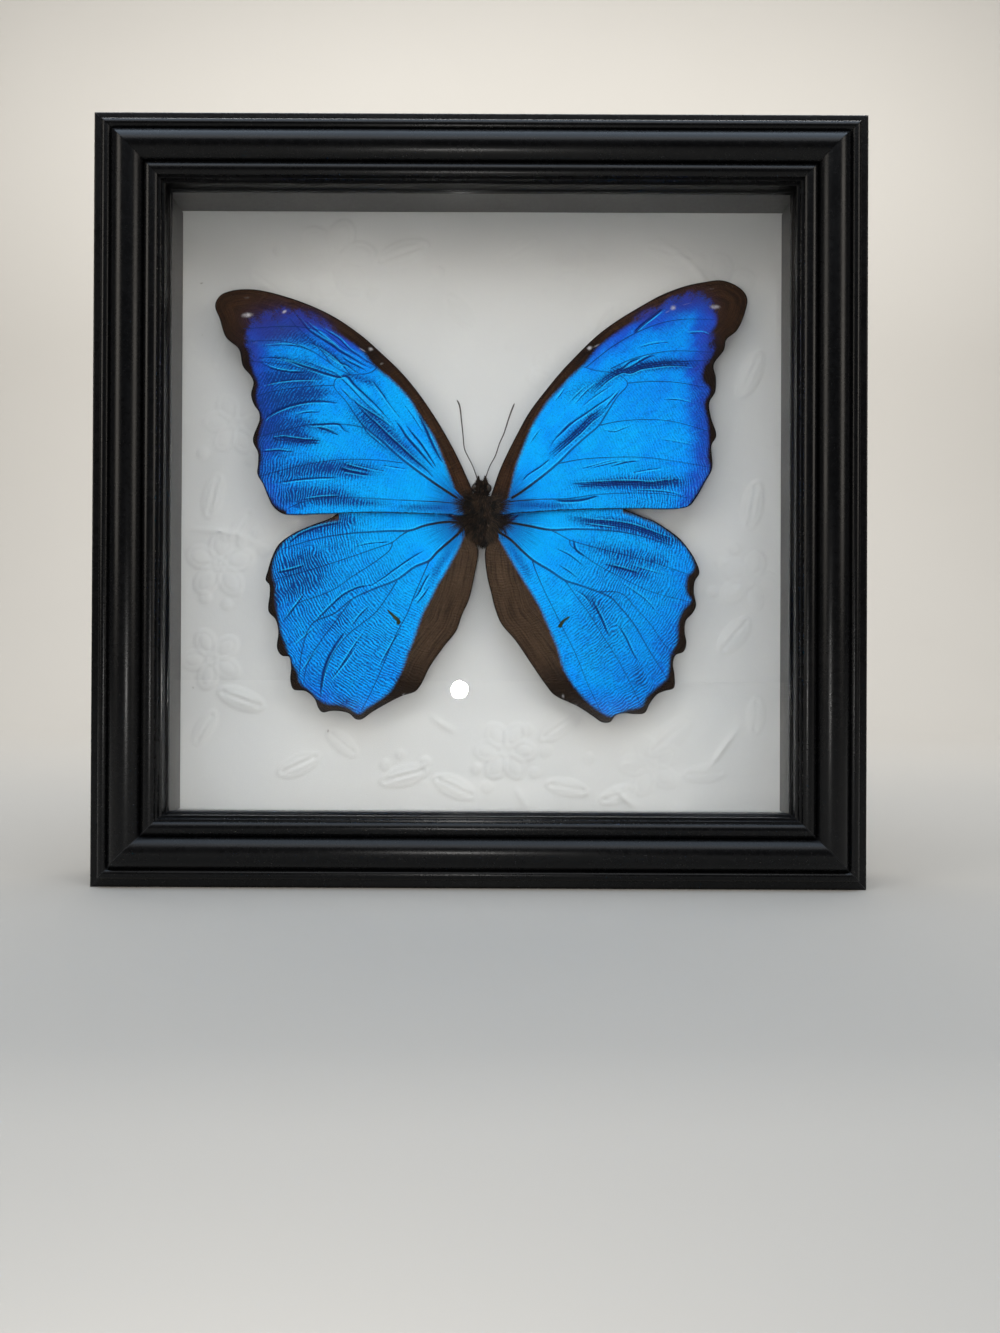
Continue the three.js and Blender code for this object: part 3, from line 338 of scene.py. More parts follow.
HINDWING_RIGHT = {
    "outline": [(3.3, 0.6), (18, 3.6), (31, 2.9), (42.3, -1.4), (46.9, -3.2), (51.1, -5.7), (54, -8),
        (56.1, -10.5), (58.2, -13.8), (59.3, -17.2), (58.1, -19.4), (57.8, -22.2), (58.4, -26.1),
        (57.4, -28.2), (55.7, -30.1), (55.4, -33), (55.9, -36.2), (55.2, -38.5), (53, -39.5),
        (52.3, -41.8), (52.7, -45.1), (52.5, -48.4), (50, -49.2), (47.9, -50.2), (46, -52.7),
        (44.7, -55.2), (42.1, -55.5), (39.2, -55.3), (36.8, -55.9), (35.3, -57.7), (33, -57.7),
        (30.9, -56.3), (26.7, -53.6), (20, -50.3), (17.9, -47.8), (14.1, -42.4), (9.5, -35.7),
        (5.7, -31.2), (4.1, -27.4), (2.8, -22.4), (1.7, -17.8), (1.2, -11.5), (2.2, -8.4), (2.8, -5.5),
        (3.3, -2)],
    "blue_edge": [(38.4, -1), (43.3, -2.5), (48.7, -4.9), (55.2, -10.2), (56.9, -13), (57.7, -16),
        (56, -18.1), (55.6, -22.2), (56.9, -24.7), (54.8, -27.2), (53.6, -30.1), (53.2, -36),
        (51.5, -39.3), (51.1, -42.2), (50.5, -45.6), (47.4, -48.5), (44.9, -51), (43.7, -53.3),
        (39.9, -54.3), (35.4, -56), (32.6, -54.7), (29.1, -51.9), (25.8, -48.2), (22.9, -43.6),
        (21.2, -38.2), (18.6, -32), (15.7, -25.7), (11.9, -19.5), (8.2, -13.3), (5.2, -7.9)],
    "veins": [
        [(5.2, -3.2), (8.5, -3.7), (13.5, -4.7), (18.9, -5.7), (25.6, -5.5), (32.3, -5.7), (38.5, -6.3),
         (43.5, -7.3), (52, -9.8)],
        [(18.9, -5.7), (21.5, -7), (24, -8.4), (28.9, -9.9), (35.2, -11.5), (46.1, -14.2), (57, -17.9)],
        [(24, -8.4), (24.4, -9.9), (26.5, -11.5), (31.4, -15), (37.9, -18.5), (46.1, -22.3),
         (56.4, -25)],
        [(4.4, -5.8), (8.1, -8.3), (11.5, -11.6), (14.4, -14.1), (18.6, -16.6), (22.8, -19.3),
         (26.9, -20.7), (31.5, -22.3), (35.3, -24), (37.4, -26.1), (41.5, -31), (45.7, -38.1),
         (49.9, -44.7), (50.8, -46.2)],
        [(22.8, -19.3), (26.5, -24.4), (29.9, -29), (33.2, -34.4), (37.4, -41), (40.8, -47.3),
         (43.7, -53.1)],
        [(14, -14.1), (15.2, -17.4), (17.4, -22.4), (19.9, -27.4), (23.2, -34), (25.7, -39),
         (29.1, -47.3), (32.9, -55.2)],
        [(31.5, -22.3), (38.2, -22.9), (41.9, -26.6), (45.7, -30.7), (49.9, -36.6), (53.2, -40)],
    ],
    "stems": (0, 3),
    "ripple": (0.85, 60),
    "pleats": [
        (0.5, 1, [(10.3, -1.4), (8.2, -2.9), (6.1, -4.7)]),
        (0.7, 1, [(22.1, -2), (26.2, -2.8), (31.1, -3.6), (36, -4), (40.8, -4.8), (45.7, -6.4),
         (50.6, -8.2), (54.7, -9.4)]),
        (0.34, 1, [(29.9, -23.6), (31.1, -26.4), (32.8, -29.7), (34.4, -33.4), (35.3, -35)]),
        (0.26, 1, [(36.9, -30.9), (39.3, -34.6), (41.4, -39), (43.4, -41.9)]),
        (0.2, 1, [(20.1, -10.6), (24.2, -12.6), (28.3, -15.9)]),
        (0.2, 1, [(20.9, -15.1), (24.2, -17.1), (26.6, -19.1)]),
        (0.15, 1, [(36.8, -19.5), (40.9, -21.9), (45, -24.8), (49.1, -29.6)]),
        (0.2, -1, [(25, -21.6), (28.3, -23.6), (30.7, -26.9)]),
        (0.16, 1, [(27, -4), (32.7, -4.8), (37.6, -5.4)]),
        (0.3, 1, [(33.5, -15), (38.4, -16.2), (43.3, -17.6)]),
        (0.3, 1, [(25, -8.1), (25.8, -11), (28.2, -13)]),
        (0.14, 1, [(39.7, -15), (45, -16.6), (49.9, -17.8)]),
    ],
    "shades": [
        (1.3, 0.75, [(7, -8.3), (9.3, -12), (12, -16.2), (14.2, -20.4)]),
        (1.3, 0.85, [(24.1, -3.6), (31.9, -4), (40.8, -4.8), (47.4, -6.8), (53.9, -9.6)]),
        (1.7, 0.5, [(25, -9.3), (31.1, -10.5), (37.6, -12.1), (43.3, -12.9), (48.6, -13.7)]),
        (1.5, 0.65, [(33.1, -15), (38.4, -16.2), (43.3, -17.4), (46.6, -18.2)]),
        (1.6, 0.35, [(27.1, -22.4), (30.3, -24.8), (32.8, -28.9)]),
        (1.2, 0.4, [(42.6, -41.5), (43.4, -45.5), (44.3, -48.8)]),
        (1.4, 0.45, [(44.1, -14.2), (48.2, -14.1), (51.5, -15.8)]),
    ],
    "flecks": [(22.5, -50.7, 0.4, 0.7, 10, 0.7), (26, -53, 0.7, 0.2, -30, 0.7),
        (28.4, -54.8, 0.7, 0.2, -30, 0.6), (23.7, -52.1, 0.5, 0.25, -40, 0.6)],
    "tear": [(24, -29.3), (22.5, -30.4), (21.6, -31.7)],
}

# Shared tools


def settings():
    return bpy.context.scene.specimen


def add_node(tree, kind, inputs=None, **options):
    made = tree.nodes.new(kind)
    for key, value in options.items():
        setattr(made, key, value)
    for key, value in (inputs or {}).items():
        socket = made.inputs[key]
        if isinstance(value, bpy.types.NodeSocket):
            tree.links.new(value, socket)
        else:
            socket.default_value = value
    return made


def math_node(tree, operation, *values):
    return add_node(tree, "ShaderNodeMath", dict(enumerate(values)), operation=operation).outputs[0]


def times(tree, first, second):
    return math_node(tree, "MULTIPLY", first, second)


def plus(tree, first, second):
    return math_node(tree, "ADD", first, second)


def minus(tree, first, second):
    return math_node(tree, "SUBTRACT", first, second)


def larger(tree, first, second):
    return math_node(tree, "MAXIMUM", first, second)


def blend_colour(tree, factor, low, high):
    """Goes from the low colour at factor 0 to the high one at 1; bare colours come as three numbers."""
    ends = [value + (1,) if isinstance(value, tuple) else value for value in (low, high)]
    made = add_node(tree, "ShaderNodeMix", {0: factor, 6: ends[0], 7: ends[1]}, data_type="RGBA")
    return made.outputs[2]


def smooth_step(tree, value, low, high):
    inputs = {"Value": value, "From Min": low, "From Max": high}
    return add_node(tree, "ShaderNodeMapRange", inputs, interpolation_type="SMOOTHSTEP").outputs[0]


def rescale(tree, value, low, high):
    inputs = {"Value": value, "To Min": low, "To Max": high}
    return add_node(tree, "ShaderNodeMapRange", inputs).outputs[0]


def noise(tree, place, scale, detail=2.0, roughness=0.5):
    inputs = {"Vector": place, "Scale": scale, "Detail": detail, "Roughness": roughness}
    return add_node(tree, "ShaderNodeTexNoise", inputs).outputs["Fac"]


def attribute(tree, name):
    return add_node(tree, "ShaderNodeAttribute", attribute_name=name).outputs["Fac"]


def stretched(tree, place, scale, turn=(0, 0, 0)):
    inputs = {"Vector": place, "Rotation": turn, "Scale": scale}
    return add_node(tree, "ShaderNodeMapping", inputs).outputs[0]


def bump(tree, height, distance, strength=1.0, normal=None):
    inputs = {"Height": height, "Distance": distance, "Strength": strength}
    if normal is not None:
        inputs["Normal"] = normal
    return add_node(tree, "ShaderNodeBump", inputs).outputs[0]


def new_material(name, **constants):
    """A material with its shader and the object coordinates that its patterns read."""
    material = bpy.data.materials.new(name)
    material.use_nodes = True
    tree = material.node_tree
    shader = next(n for n in tree.nodes if n.type == "BSDF_PRINCIPLED")
    for key, value in constants.items():
        shader.inputs[key.replace("_", " ")].default_value = value
    place = add_node(tree, "ShaderNodeTexCoord").outputs["Object"]
    return material, tree, shader, place


def deselect():
    if bpy.context.mode != "OBJECT":
        bpy.ops.object.mode_set(mode="OBJECT")
    bpy.ops.object.select_all(action="DESELECT")


def pick(piece):
    deselect()
    piece.select_set(True)
    bpy.context.view_layer.objects.active = piece


def edit(piece, wanted=None, domain="FACE"):
    """Edit mode with only the wanted vertices, edges or faces selected, or with all of it."""
    pick(piece)
    bpy.ops.object.mode_set(mode="EDIT")
    bpy.ops.mesh.select_mode(type=domain)
    bpy.ops.mesh.select_all(action="SELECT" if wanted is None else "DESELECT")
    if wanted is not None:
        bpy.ops.object.mode_set(mode="OBJECT")
        data = piece.data
        for row in {"FACE": data.polygons, "EDGE": data.edges, "VERT": data.vertices}[domain]:
            row.select = bool(wanted(row))
        bpy.ops.object.mode_set(mode="EDIT")


def leave_edit():
    bpy.ops.object.mode_set(mode="OBJECT")


def added(name):
    piece = bpy.context.object
    piece.name = name
    piece.data.name = name
    return piece


def apply_place(piece):
    pick(piece)
    bpy.ops.object.transform_apply(location=True, rotation=True, scale=True)


def with_modifier(piece, kind, **options):
    pick(piece)
    modifier = piece.modifiers.new(kind.title(), kind)
    for key, value in options.items():
        setattr(modifier, key, value)
    bpy.ops.object.modifier_apply(modifier=modifier.name)


def smooth(piece, degrees=35):
    pick(piece)
    bpy.ops.object.shade_smooth_by_angle(angle=math.radians(degrees))


def settle(piece, material=None, stands_for=()):
    """The piece belongs to the frame, and hides the solids it stands for."""
    if material is not None:
        piece.data.materials.clear()
        piece.data.materials.append(material)
    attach(piece, "root")
    for node in stands_for:
        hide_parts(node)
    return piece


def rounded_slab(name, low, high, edge, segments=3):
    """A slab between two corners, in metres, with its edges rounded over."""
    deselect()
    middle = (Vector(low) + Vector(high)) / 2
    bpy.ops.mesh.primitive_cube_add(size=1, location=middle)
    piece = added(name)
    piece.scale = Vector(high) - Vector(low)
    apply_place(piece)
    edit(piece)
    bpy.ops.mesh.bevel(offset=edge, segments=segments, profile=0.5)
    leave_edit()
    return piece


def coordinates(mesh):
    flat = np.empty(len(mesh.vertices) * 3, np.float32)
    mesh.vertices.foreach_get("co", flat)
    return flat.reshape(-1, 3).astype(float)


def place_vertices(mesh, points):
    mesh.vertices.foreach_set("co", np.asarray(points, np.float32).ravel())
    mesh.update()


def store(mesh, name, values):
    layer = mesh.attributes.new(name, "FLOAT", "POINT")
    layer.data.foreach_set("value", np.asarray(values, np.float32))


def flowing(points, step, closed=False):
    """A smooth curve through the points, cut into even steps."""
    points = np.asarray(points, float)
    count = len(points)
    if closed:
        padded = np.vstack([points[-1], points, points[:2]])
    else:
        padded = np.vstack([2 * points[0] - points[1], points, 2 * points[-1] - points[-2]])
    rows = []
    for i in range(count if closed else count - 1):
        a, b, c, d = padded[i : i + 4]
        gaps = [max(np.linalg.norm(q - p), 1e-6) ** 0.5 for p, q in ((a, b), (b, c), (c, d))]
        pieces = max(int(np.linalg.norm(c - b) / step * 2), 2)
        for t in np.arange(pieces) / pieces:
            t1, t2, t3 = gaps[0], gaps[0] + gaps[1], sum(gaps)
            u = t1 + t * gaps[1]
            ab = (a * (t1 - u) + b * u) / t1
            bc = (b * (t2 - u) + c * (u - t1)) / gaps[1]
            cd = (c * (t3 - u) + d * (u - t2)) / gaps[2]
            abc = (ab * (t2 - u) + bc * u) / t2
            bcd = (bc * (t3 - u) + cd * (u - t1)) / (t3 - t1)
            rows.append((abc * (t2 - u) + bcd * (u - t1)) / gaps[1])
    rows.append(rows[0] if closed else points[-1])
    rows = np.array(rows)
    run = np.concatenate([[0], np.cumsum(np.linalg.norm(np.diff(rows, axis=0), axis=1))])
    number = max(int(run[-1] / step), 2)
    even = np.linspace(0, run[-1], number + 1)
    line = np.stack([np.interp(even, run, rows[:, k]) for k in range(rows.shape[1])], 1)
    return line[:-1] if closed else line


def nearest(points, line, closed=False):
    """Distance from each point to the line, how far along it (0 to 1), and the nearest place on it."""
    ends = np.vstack([line, line[:1]]) if closed else line
    best = np.full(len(points), np.inf)
    along = np.zeros(len(points))
    spot = np.zeros((len(points), 2))
    total = len(ends) - 1
    for i in range(total):
        a, b = ends[i], ends[i + 1]
        span = b - a
        t = np.clip(((points - a) @ span) / max(span @ span, 1e-12), 0, 1)
        q = a + t[:, None] * span
        gap = np.hypot(*(points - q).T)
        closer = gap < best
        best[closer] = gap[closer]
        along[closer] = (i + t[closer]) / total
        spot[closer] = q[closer]
    return best, along, spot


def inside(points, loop):
    x, y = points[:, 0], points[:, 1]
    result = np.zeros(len(points), bool)
    for (x0, y0), (x1, y1) in zip(loop, np.roll(loop, -1, axis=0)):
        crosses = (y0 > y) != (y1 > y)
        if y1 != y0:
            result ^= crosses & (x < (x1 - x0) * (y - y0) / (y1 - y0) + x0)
    return result


def near_rows(points, line, reach):
    """The points that lie within reach of the line's own box."""
    low, high = line.min(0) - reach, line.max(0) + reach
    return np.flatnonzero(((points >= low) & (points <= high)).all(1))


def value_noise(points, size, seed):
    """Smooth random waves of about the given size, from -1 to 1."""
    rng = np.random.default_rng(seed)
    table = rng.uniform(-1, 1, (97, 97))
    cell = points / size + 31.7
    low = np.floor(cell).astype(int)
    t = cell - low
    t = t * t * (3 - 2 * t)
    x0, y0 = low[:, 0] % 97, low[:, 1] % 97
    x1, y1 = (x0 + 1) % 97, (y0 + 1) % 97
    first = table[x0, y0] * (1 - t[:, 0]) + table[x1, y0] * t[:, 0]
    second = table[x0, y1] * (1 - t[:, 0]) + table[x1, y1] * t[:, 0]
    return first * (1 - t[:, 1]) + second * t[:, 1]


# The frame


def arc(points, centre, radius, start, end, count):
    for angle in np.radians(np.linspace(start, end, count + 1)):
        points.append((centre[0] + radius * math.cos(angle), centre[1] + radius * math.sin(angle)))


def moulding_section(depth):
    """The section's points: distance in from the outer side, height in front of the outer edge."""
    points = [(0, -depth), (0, -14.0)]
    arc(points, (0.5, -0.5), 0.5, 180, 90, 6)
    points.append((2.25, 0.0))
    points.append((2.32, 0.06))
    arc(points, (3.7, 0.9), 1.37, 180, 24, 18)
    points.append((5.02, 1.36))
    arc(points, (9.2, -0.5), 4.6, 154, 28.5, 40)
    points += [(13.25, 1.35), (13.3, 0.98), (13.36, 0.97)]
    arc(points, (15.4, 0.2), 2.28, 157, 42, 26)
    points += [(17.14, 1.36), (17.22, 1.27), (17.66, 1.25), (17.76, 1.18)]
    points += [(17.92, 0.6), (18.0, 0.5), (18.52, 0.42), (18.6, 0.34), (18.74, -1.64)]
    arc(points, (19.0, -2.35), 0.35, 90, 0, 6)
    points += [(19.35, -3.24), (19.29, -3.3), (13.56, -3.3), (13.5, -3.36), (13.5, -depth)]
    return points


def paint_material():
    finish = {"Roughness": 0.27, "Specular_IOR_Level": 0.24}
    material, tree, shader, place = new_material("satin_black_paint", **finish)
    grain = noise(tree, place, 2600, 2.0, 0.6)
    broad = noise(tree, place, 60, 3.0)
    fine = noise(tree, place, 700, 2.0)
    tone = rescale(tree, fine, -0.2, 1.2)
    shade = blend_colour(tree, tone, (0.001, 0.001, 0.0012), (0.003, 0.003, 0.0035))
    parts = add_node(tree, "ShaderNodeSeparateXYZ", {0: place})
    across = math_node(tree, "ABSOLUTE", parts.outputs["X"])
    upward = math_node(tree, "ABSOLUTE", minus(tree, parts.outputs["Z"], 0.1))
    mitre = math_node(tree, "ABSOLUTE", minus(tree, across, upward))
    lip = smooth_step(tree, larger(tree, across, upward), 0.0818, 0.0813)
    low = smooth_step(tree, parts.outputs["Z"], 0.03, 0.015)
    # painted highlight: a pale line along the lower mitres, where the mitre gaps catch the light
    painted_mitre_highlight = times(tree, smooth_step(tree, mitre, 0.00045, 0.0001), low)
    painted_mitre_highlight = times(tree, painted_mitre_highlight, rescale(tree, broad, 0.0, 0.7))
    shade = blend_colour(tree, painted_mitre_highlight, shade, (0.035, 0.035, 0.037))
    dust = smooth_step(tree, noise(tree, place, 5200, 1.0), 0.74, 0.8)
    shade = blend_colour(tree, times(tree, dust, 0.35), shade, (0.2, 0.19, 0.18))
    tree.links.new(shade, shader.inputs["Base Color"])
    rough = plus(tree, rescale(tree, broad, 0.2, 0.34), rescale(tree, fine, -0.05, 0.05))
    rough = add_node(tree, "ShaderNodeMix", {0: lip, 2: rough, 3: 0.1}).outputs[0]
    tree.links.new(rough, shader.inputs["Roughness"])
    stipple = times(tree, grain, rescale(tree, lip, 1.0, 0.0))
    tree.links.new(bump(tree, stipple, 0.00003, 0.3), shader.inputs["Normal"])
    return material


class SPECIMEN_OT_rails(bpy.types.Operator):
    """Sweeps the moulding's section, cuts both ends to a mitre and turns it into four rails"""

    bl_idname = "specimen.rails"
    bl_label = "Moulding rails"

    def execute(self, context):
        paint = paint_material()
        section = moulding_section(settings().rail_depth / MM)
        deselect()
        bpy.ops.mesh.primitive_circle_add(vertices=len(section), radius=0.01, fill_type="NGON")
        rail = added("rail_pattern")
        rows = [(-HALF - SPARE, EDGE_Y - height, inward) for inward, height in section]
        place_vertices(rail.data, np.array(rows) * MM)
        edit(rail)
        length = 2 * (HALF + SPARE) * MM
        bpy.ops.mesh.extrude_region_move(TRANSFORM_OT_translate={"value": (length, 0, 0)})
        gap = settings().mitre_gap / 2
        for side in (-1, 1):
            bpy.ops.mesh.select_all(action="SELECT")
            corner = (side * (HALF * MM - gap), 0, 0)
            cut = {"plane_co": corner, "plane_no": (side, 0, 1)}
            bpy.ops.mesh.bisect(**cut, use_fill=True, clear_outer=True)
        bpy.ops.mesh.select_all(action="SELECT")
        bpy.ops.mesh.normals_make_consistent(inside=False)
        leave_edit()
        smooth(rail, 40)
        with_modifier(rail, "WEIGHTED_NORMAL", keep_sharp=True, weight=80)
        for turn, name in enumerate(("rail_bottom", "rail_right", "rail_top", "rail_left")):
            pick(rail)
            bpy.ops.object.duplicate()
            copy = added(name + "_dressed")
            copy.data.transform(turned_about_centre(-turn * math.pi / 2))
            settle(copy, paint, [name])
        bpy.data.objects.remove(rail)
        return {"FINISHED"}


def turned_about_centre(angle):
    there = Matrix.Translation(CENTRE)
    return there @ Matrix.Rotation(angle, 4, "Y") @ there.inverted()


def glass_material():
    finish = {"Roughness": 0.0, "IOR": 1.46, "Specular_IOR_Level": 0.03, "Transmission_Weight": 1.0}
    material, tree, shader, _ = new_material("clear_glass", **finish)
    shader.inputs["Base Color"].default_value = (0.985, 0.992, 0.988, 1)
    clear = add_node(tree, "ShaderNodeBsdfTransparent", {"Color": (0.93, 0.94, 0.935, 1)})
    passing = add_node(tree, "ShaderNodeLightPath").outputs["Is Shadow Ray"]
    ends = {0: passing, 1: shader.outputs[0], 2: clear.outputs[0]}
    both = add_node(tree, "ShaderNodeMixShader", ends)
    output = next(n for n in tree.nodes if n.type == "OUTPUT_MATERIAL")
    tree.links.new(both.outputs[0], output.inputs["Surface"])
    return material


class SPECIMEN_OT_pane(bpy.types.Operator):
    """Makes the glass pane with its cut edges just eased"""

    bl_idname = "specimen.pane"
    bl_label = "Glass pane"

    def execute(self, context):
        low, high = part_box("glass_pane")
        pane = rounded_slab("pane", low, high, 0.0002, 2)
        settle(pane, glass_material(), ["glass_pane"])
        return {"FINISHED"}


def card_material():
    material, tree, shader, place = new_material("dark_card", Roughness=0.5)
    fibres = noise(tree, place, 900, 4.0, 0.6)
    broad = noise(tree, place, 70, 3.0)
    tone = rescale(tree, fibres, -0.3, 1.3)
    shade = blend_colour(tree, tone, (0.05, 0.048, 0.046), (0.1, 0.096, 0.092))
    shade = blend_colour(tree, rescale(tree, broad, 0.0, 0.5), shade, (0.12, 0.115, 0.11))
    tree.links.new(shade, shader.inputs["Base Color"])
    tree.links.new(rescale(tree, broad, 0.4, 0.6), shader.inputs["Roughness"])
    tree.links.new(bump(tree, fibres, 0.00006, 0.5), shader.inputs["Normal"])
    return material


class SPECIMEN_OT_spacers(bpy.types.Operator):
    """Makes the four strips that hold the glass off the paper"""

    bl_idname = "specimen.spacers"
    bl_label = "Spacers"

    def execute(self, context):
        card = card_material()
        for name in ("spacer_bottom", "spacer_top", "spacer_left", "spacer_right"):
            low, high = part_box(name)
            strip = rounded_slab(name + "_strip", low, high, 0.00025, 3)
            settle(strip, card, [name])
        return {"FINISHED"}


# The embossing, as plain floral shapes of this sheet's own: flowers as (x, z, radius, petals, turn),
# leaves as (x, z, length, width, turn), dots as (x, z, radius) and creases as lines, in millimetres
# from the sheet's centre.
FLOWERS = [
    (-41, 69, 11, 6, 12), (-74, -41, 8, 5, 40), (7, -66, 8, 6, 0), (66, 62, 9, 5, 20),
    (27, 66, 7, 6, 35), (74, -19, 8, 5, 70), (-72, -15, 9, 5, 15), (20, 38, 7, 6, 10),
    (-68, 24, 8, 6, 55), (47, -70, 8, 5, 33),
]
LEAVES = [
    (-22, 71, 15, 6, 20), (-58, 62, 14, 5, -35), (-74, 4, 12, 5, 78), (-66, -4, 9, 4, 60),
    (-66, -52, 13, 5, -20), (-21, -73, 13, 5, 15), (22, -59, 13, 5, 35), (-7, -76, 12, 5, -25),
    (52, -62, 15, 6, 40), (62, -72, 11, 4, 5), (75, 2, 13, 5, 80), (70, -34, 12, 5, 50),
    (74, 38, 13, 5, 65), (52, 72, 13, 5, -15), (10, 72, 12, 5, 30), (33, 52, 12, 5, 60),
    (-6, 55, 11, 4, -50), (-71, 45, 12, 5, 70), (-50, -70, 12, 5, 25), (-38, -64, 10, 4, -40),
    (24, -76, 11, 4, -10), (38, -78, 10, 4, 20), (76, -56, 10, 4, 85), (-76, -60, 10, 4, 60),
]
DOTS = [
    (-70, -7, 1.1), (-66, -9, 1.0), (-62, -6, 0.9), (-60, -11, 1.1), (-76, -24, 1.2), (-70, -26, 1.0),
    (-26, -70, 1.1), (-22, -67, 0.9), (-15, -69, 1.0), (13, -60, 1.1), (18, -66, 1.2), (15, -72, 1.0),
    (2, -76, 1.2), (-1, -71, 1.0), (30, -68, 1.0), (66, -14, 1.0), (70, -10, 1.1), (64, -22, 0.9),
    (60, 70, 1.0), (72, 52, 1.1), (36, 62, 1.0), (18, 60, 1.1), (-30, 60, 1.1), (-47, 58, 0.9),
    (-56, 72, 1.1), (-12, 66, 1.0), (-77, 16, 1.1), (-64, 14, 1.0), (-62, 35, 1.0), (8, 46, 1.0),
]
CREASES = [
    [(-14, -56), (-10, -59), (-6, -61.5)], [(9.7, -76), (12, -80), (13.5, -82)],
    [(37, -76), (41, -80), (44, -82)], [(62, -72), (67, -65), (72, -58.5)],
    [(-82, -5), (-68, -6.5), (-60, -10)], [(48, 76), (60, 66), (66, 52)],
]


def paper_material():
    material, tree, shader, place = new_material("embossed_white_paper", Roughness=0.72)
    fibres = noise(tree, place, 1500, 5.0, 0.65)
    broad = noise(tree, place, 28, 3.0)
    shade = blend_colour(tree, broad, (0.57, 0.567, 0.56), (0.64, 0.637, 0.63))
    shade = blend_colour(tree, smooth_step(tree, fibres, 0.62, 0.8), shade, (0.53, 0.525, 0.51))
    speck = smooth_step(tree, noise(tree, place, 420, 1.0), 0.81, 0.825)
    shade = blend_colour(tree, times(tree, speck, 0.5), shade, (0.2, 0.18, 0.15))
    tree.links.new(shade, shader.inputs["Base Color"])
    tree.links.new(bump(tree, fibres, 0.00006, 0.6), shader.inputs["Normal"])
    return material


def petal_loop(x, z, length, width, turn):
    t = np.linspace(0, math.pi, 20)
    upper = np.stack([-np.cos(t) * length / 2, np.sin(t) ** 1.2 * width / 2], 1)
    loop = np.vstack([upper, upper[-2:0:-1] * (1, -1)])
    angle = math.radians(turn)
    spin = np.array([[math.cos(angle), math.sin(angle)], [-math.sin(angle), math.cos(angle)]])
    return loop @ spin + (x, z)


def embossed_loops():
    loops = []
    for x, z, radius, petals, turn in FLOWERS:
        for k in range(petals):
            angle = turn + 360 * k / petals
            away = radius * 0.62
            px = x + away * math.cos(math.radians(angle))
            pz = z + away * math.sin(math.radians(angle))
            loops.append((petal_loop(px, pz, radius * 0.85, radius * 0.62, angle), 0.8))
        loops.append((petal_loop(x, z, radius * 0.3, radius * 0.3, 0), 1.0))
    for x, z, length, width, turn in LEAVES:
        loops.append((petal_loop(x, z, length, width, turn), 0.9))
    for x, z, radius in DOTS:
        loops.append((petal_loop(x, z, 2 * radius, 2 * radius, 0), 1.0))
    return loops


def paper_relief(points):
    """How far each point of the sheet stands towards the glass, in millimetres."""
    relief = 0.09 * value_noise(points, 34, 4) + 0.045 * value_noise(points, 13, 5)
    fade = 0.45 + 0.55 * np.clip(value_noise(points, 40, 9) + 0.5, 0, 1)
    for loop, puff in embossed_loops():
        rows = near_rows(points, loop, 2.0)
        gap, _, _ = nearest(points[rows], loop, closed=True)
        within = inside(points[rows], loop)
        dome = np.where(within, 1 - np.exp(-((gap / 0.9) ** 2)), 0)
        ridge = np.exp(-((gap / 0.42) ** 2))
        relief[rows] += fade[rows] * (0.13 * puff * dome + 0.075 * ridge)
    for x, z, length, _, turn in LEAVES:
        angle = math.radians(turn)
        reach = np.array([math.cos(angle), math.sin(angle)]) * length * 0.42
        rib = np.array([(x, z) - reach, (x, z) + reach])
        rows = near_rows(points, rib, 2.0)
        gap, _, _ = nearest(points[rows], rib)
        relief[rows] -= fade[rows] * 0.1 * np.exp(-((gap / 0.4) ** 2))
    for crease in CREASES:
        line = flowing(crease, 1.0)
        rows = near_rows(points, line, 3.0)
        gap, along, _ = nearest(points[rows], line)
        relief[rows] += 0.14 * np.sin(math.pi * np.clip(along, 0.03, 0.97)) * np.exp(-gap / 0.6)
    return relief


class SPECIMEN_OT_paper(bpy.types.Operator):
    """Makes the backing paper as a fine sheet and presses the floral embossing into it"""

    bl_idname = "specimen.paper"
    bl_label = "Embossed paper"

    def execute(self, context):
        low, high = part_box("backing_paper")
        side = high.x - low.x
        deselect()
        cells = settings().paper_cells
        bpy.ops.mesh.primitive_grid_add(x_subdivisions=cells, y_subdivisions=cells, size=side)
        sheet = added("paper_sheet")
        flat = coordinates(sheet.data)
        points = flat[:, :2] / MM
        rim = np.clip((side / MM / 2 - np.abs(points).max(1)) / 4.5, 0, 1)
        relief = paper_relief(points) * rim * settings().emboss_height / (0.1 * MM)
        front = np.stack([flat[:, 0], low.y - relief * MM, flat[:, 1] + CENTRE.z], 1)
        place_vertices(sheet.data, front)
        edit(sheet)
        bpy.ops.mesh.region_to_loop()
        bpy.ops.mesh.extrude_edges_move(TRANSFORM_OT_translate={"value": (0, high.y - low.y, 0)})
        bpy.ops.mesh.edge_face_add()
        bpy.ops.mesh.select_all(action="SELECT")
        bpy.ops.mesh.normals_make_consistent(inside=False)
        leave_edit()
        smooth(sheet, 60)
        settle(sheet, paper_material(), ["backing_paper"])
        return {"FINISHED"}


def board_material():
    material, tree, shader, place = new_material("brown_board", Roughness=0.8)
    fibres = noise(tree, stretched(tree, place, (1, 1, 3.5), (0, 0.5, 0)), 420, 5.0, 0.7)
    broad = noise(tree, place, 40, 3.0)
    shade = blend_colour(tree, fibres, (0.11, 0.062, 0.03), (0.27, 0.17, 0.09))
    shade = blend_colour(tree, rescale(tree, broad, 0.0, 0.6), shade, (0.16, 0.1, 0.055))
    tree.links.new(shade, shader.inputs["Base Color"])
    tree.links.new(rescale(tree, fibres, 0.65, 0.9), shader.inputs["Roughness"])
    tree.links.new(bump(tree, fibres, 0.0001, 0.6), shader.inputs["Normal"])
    return material


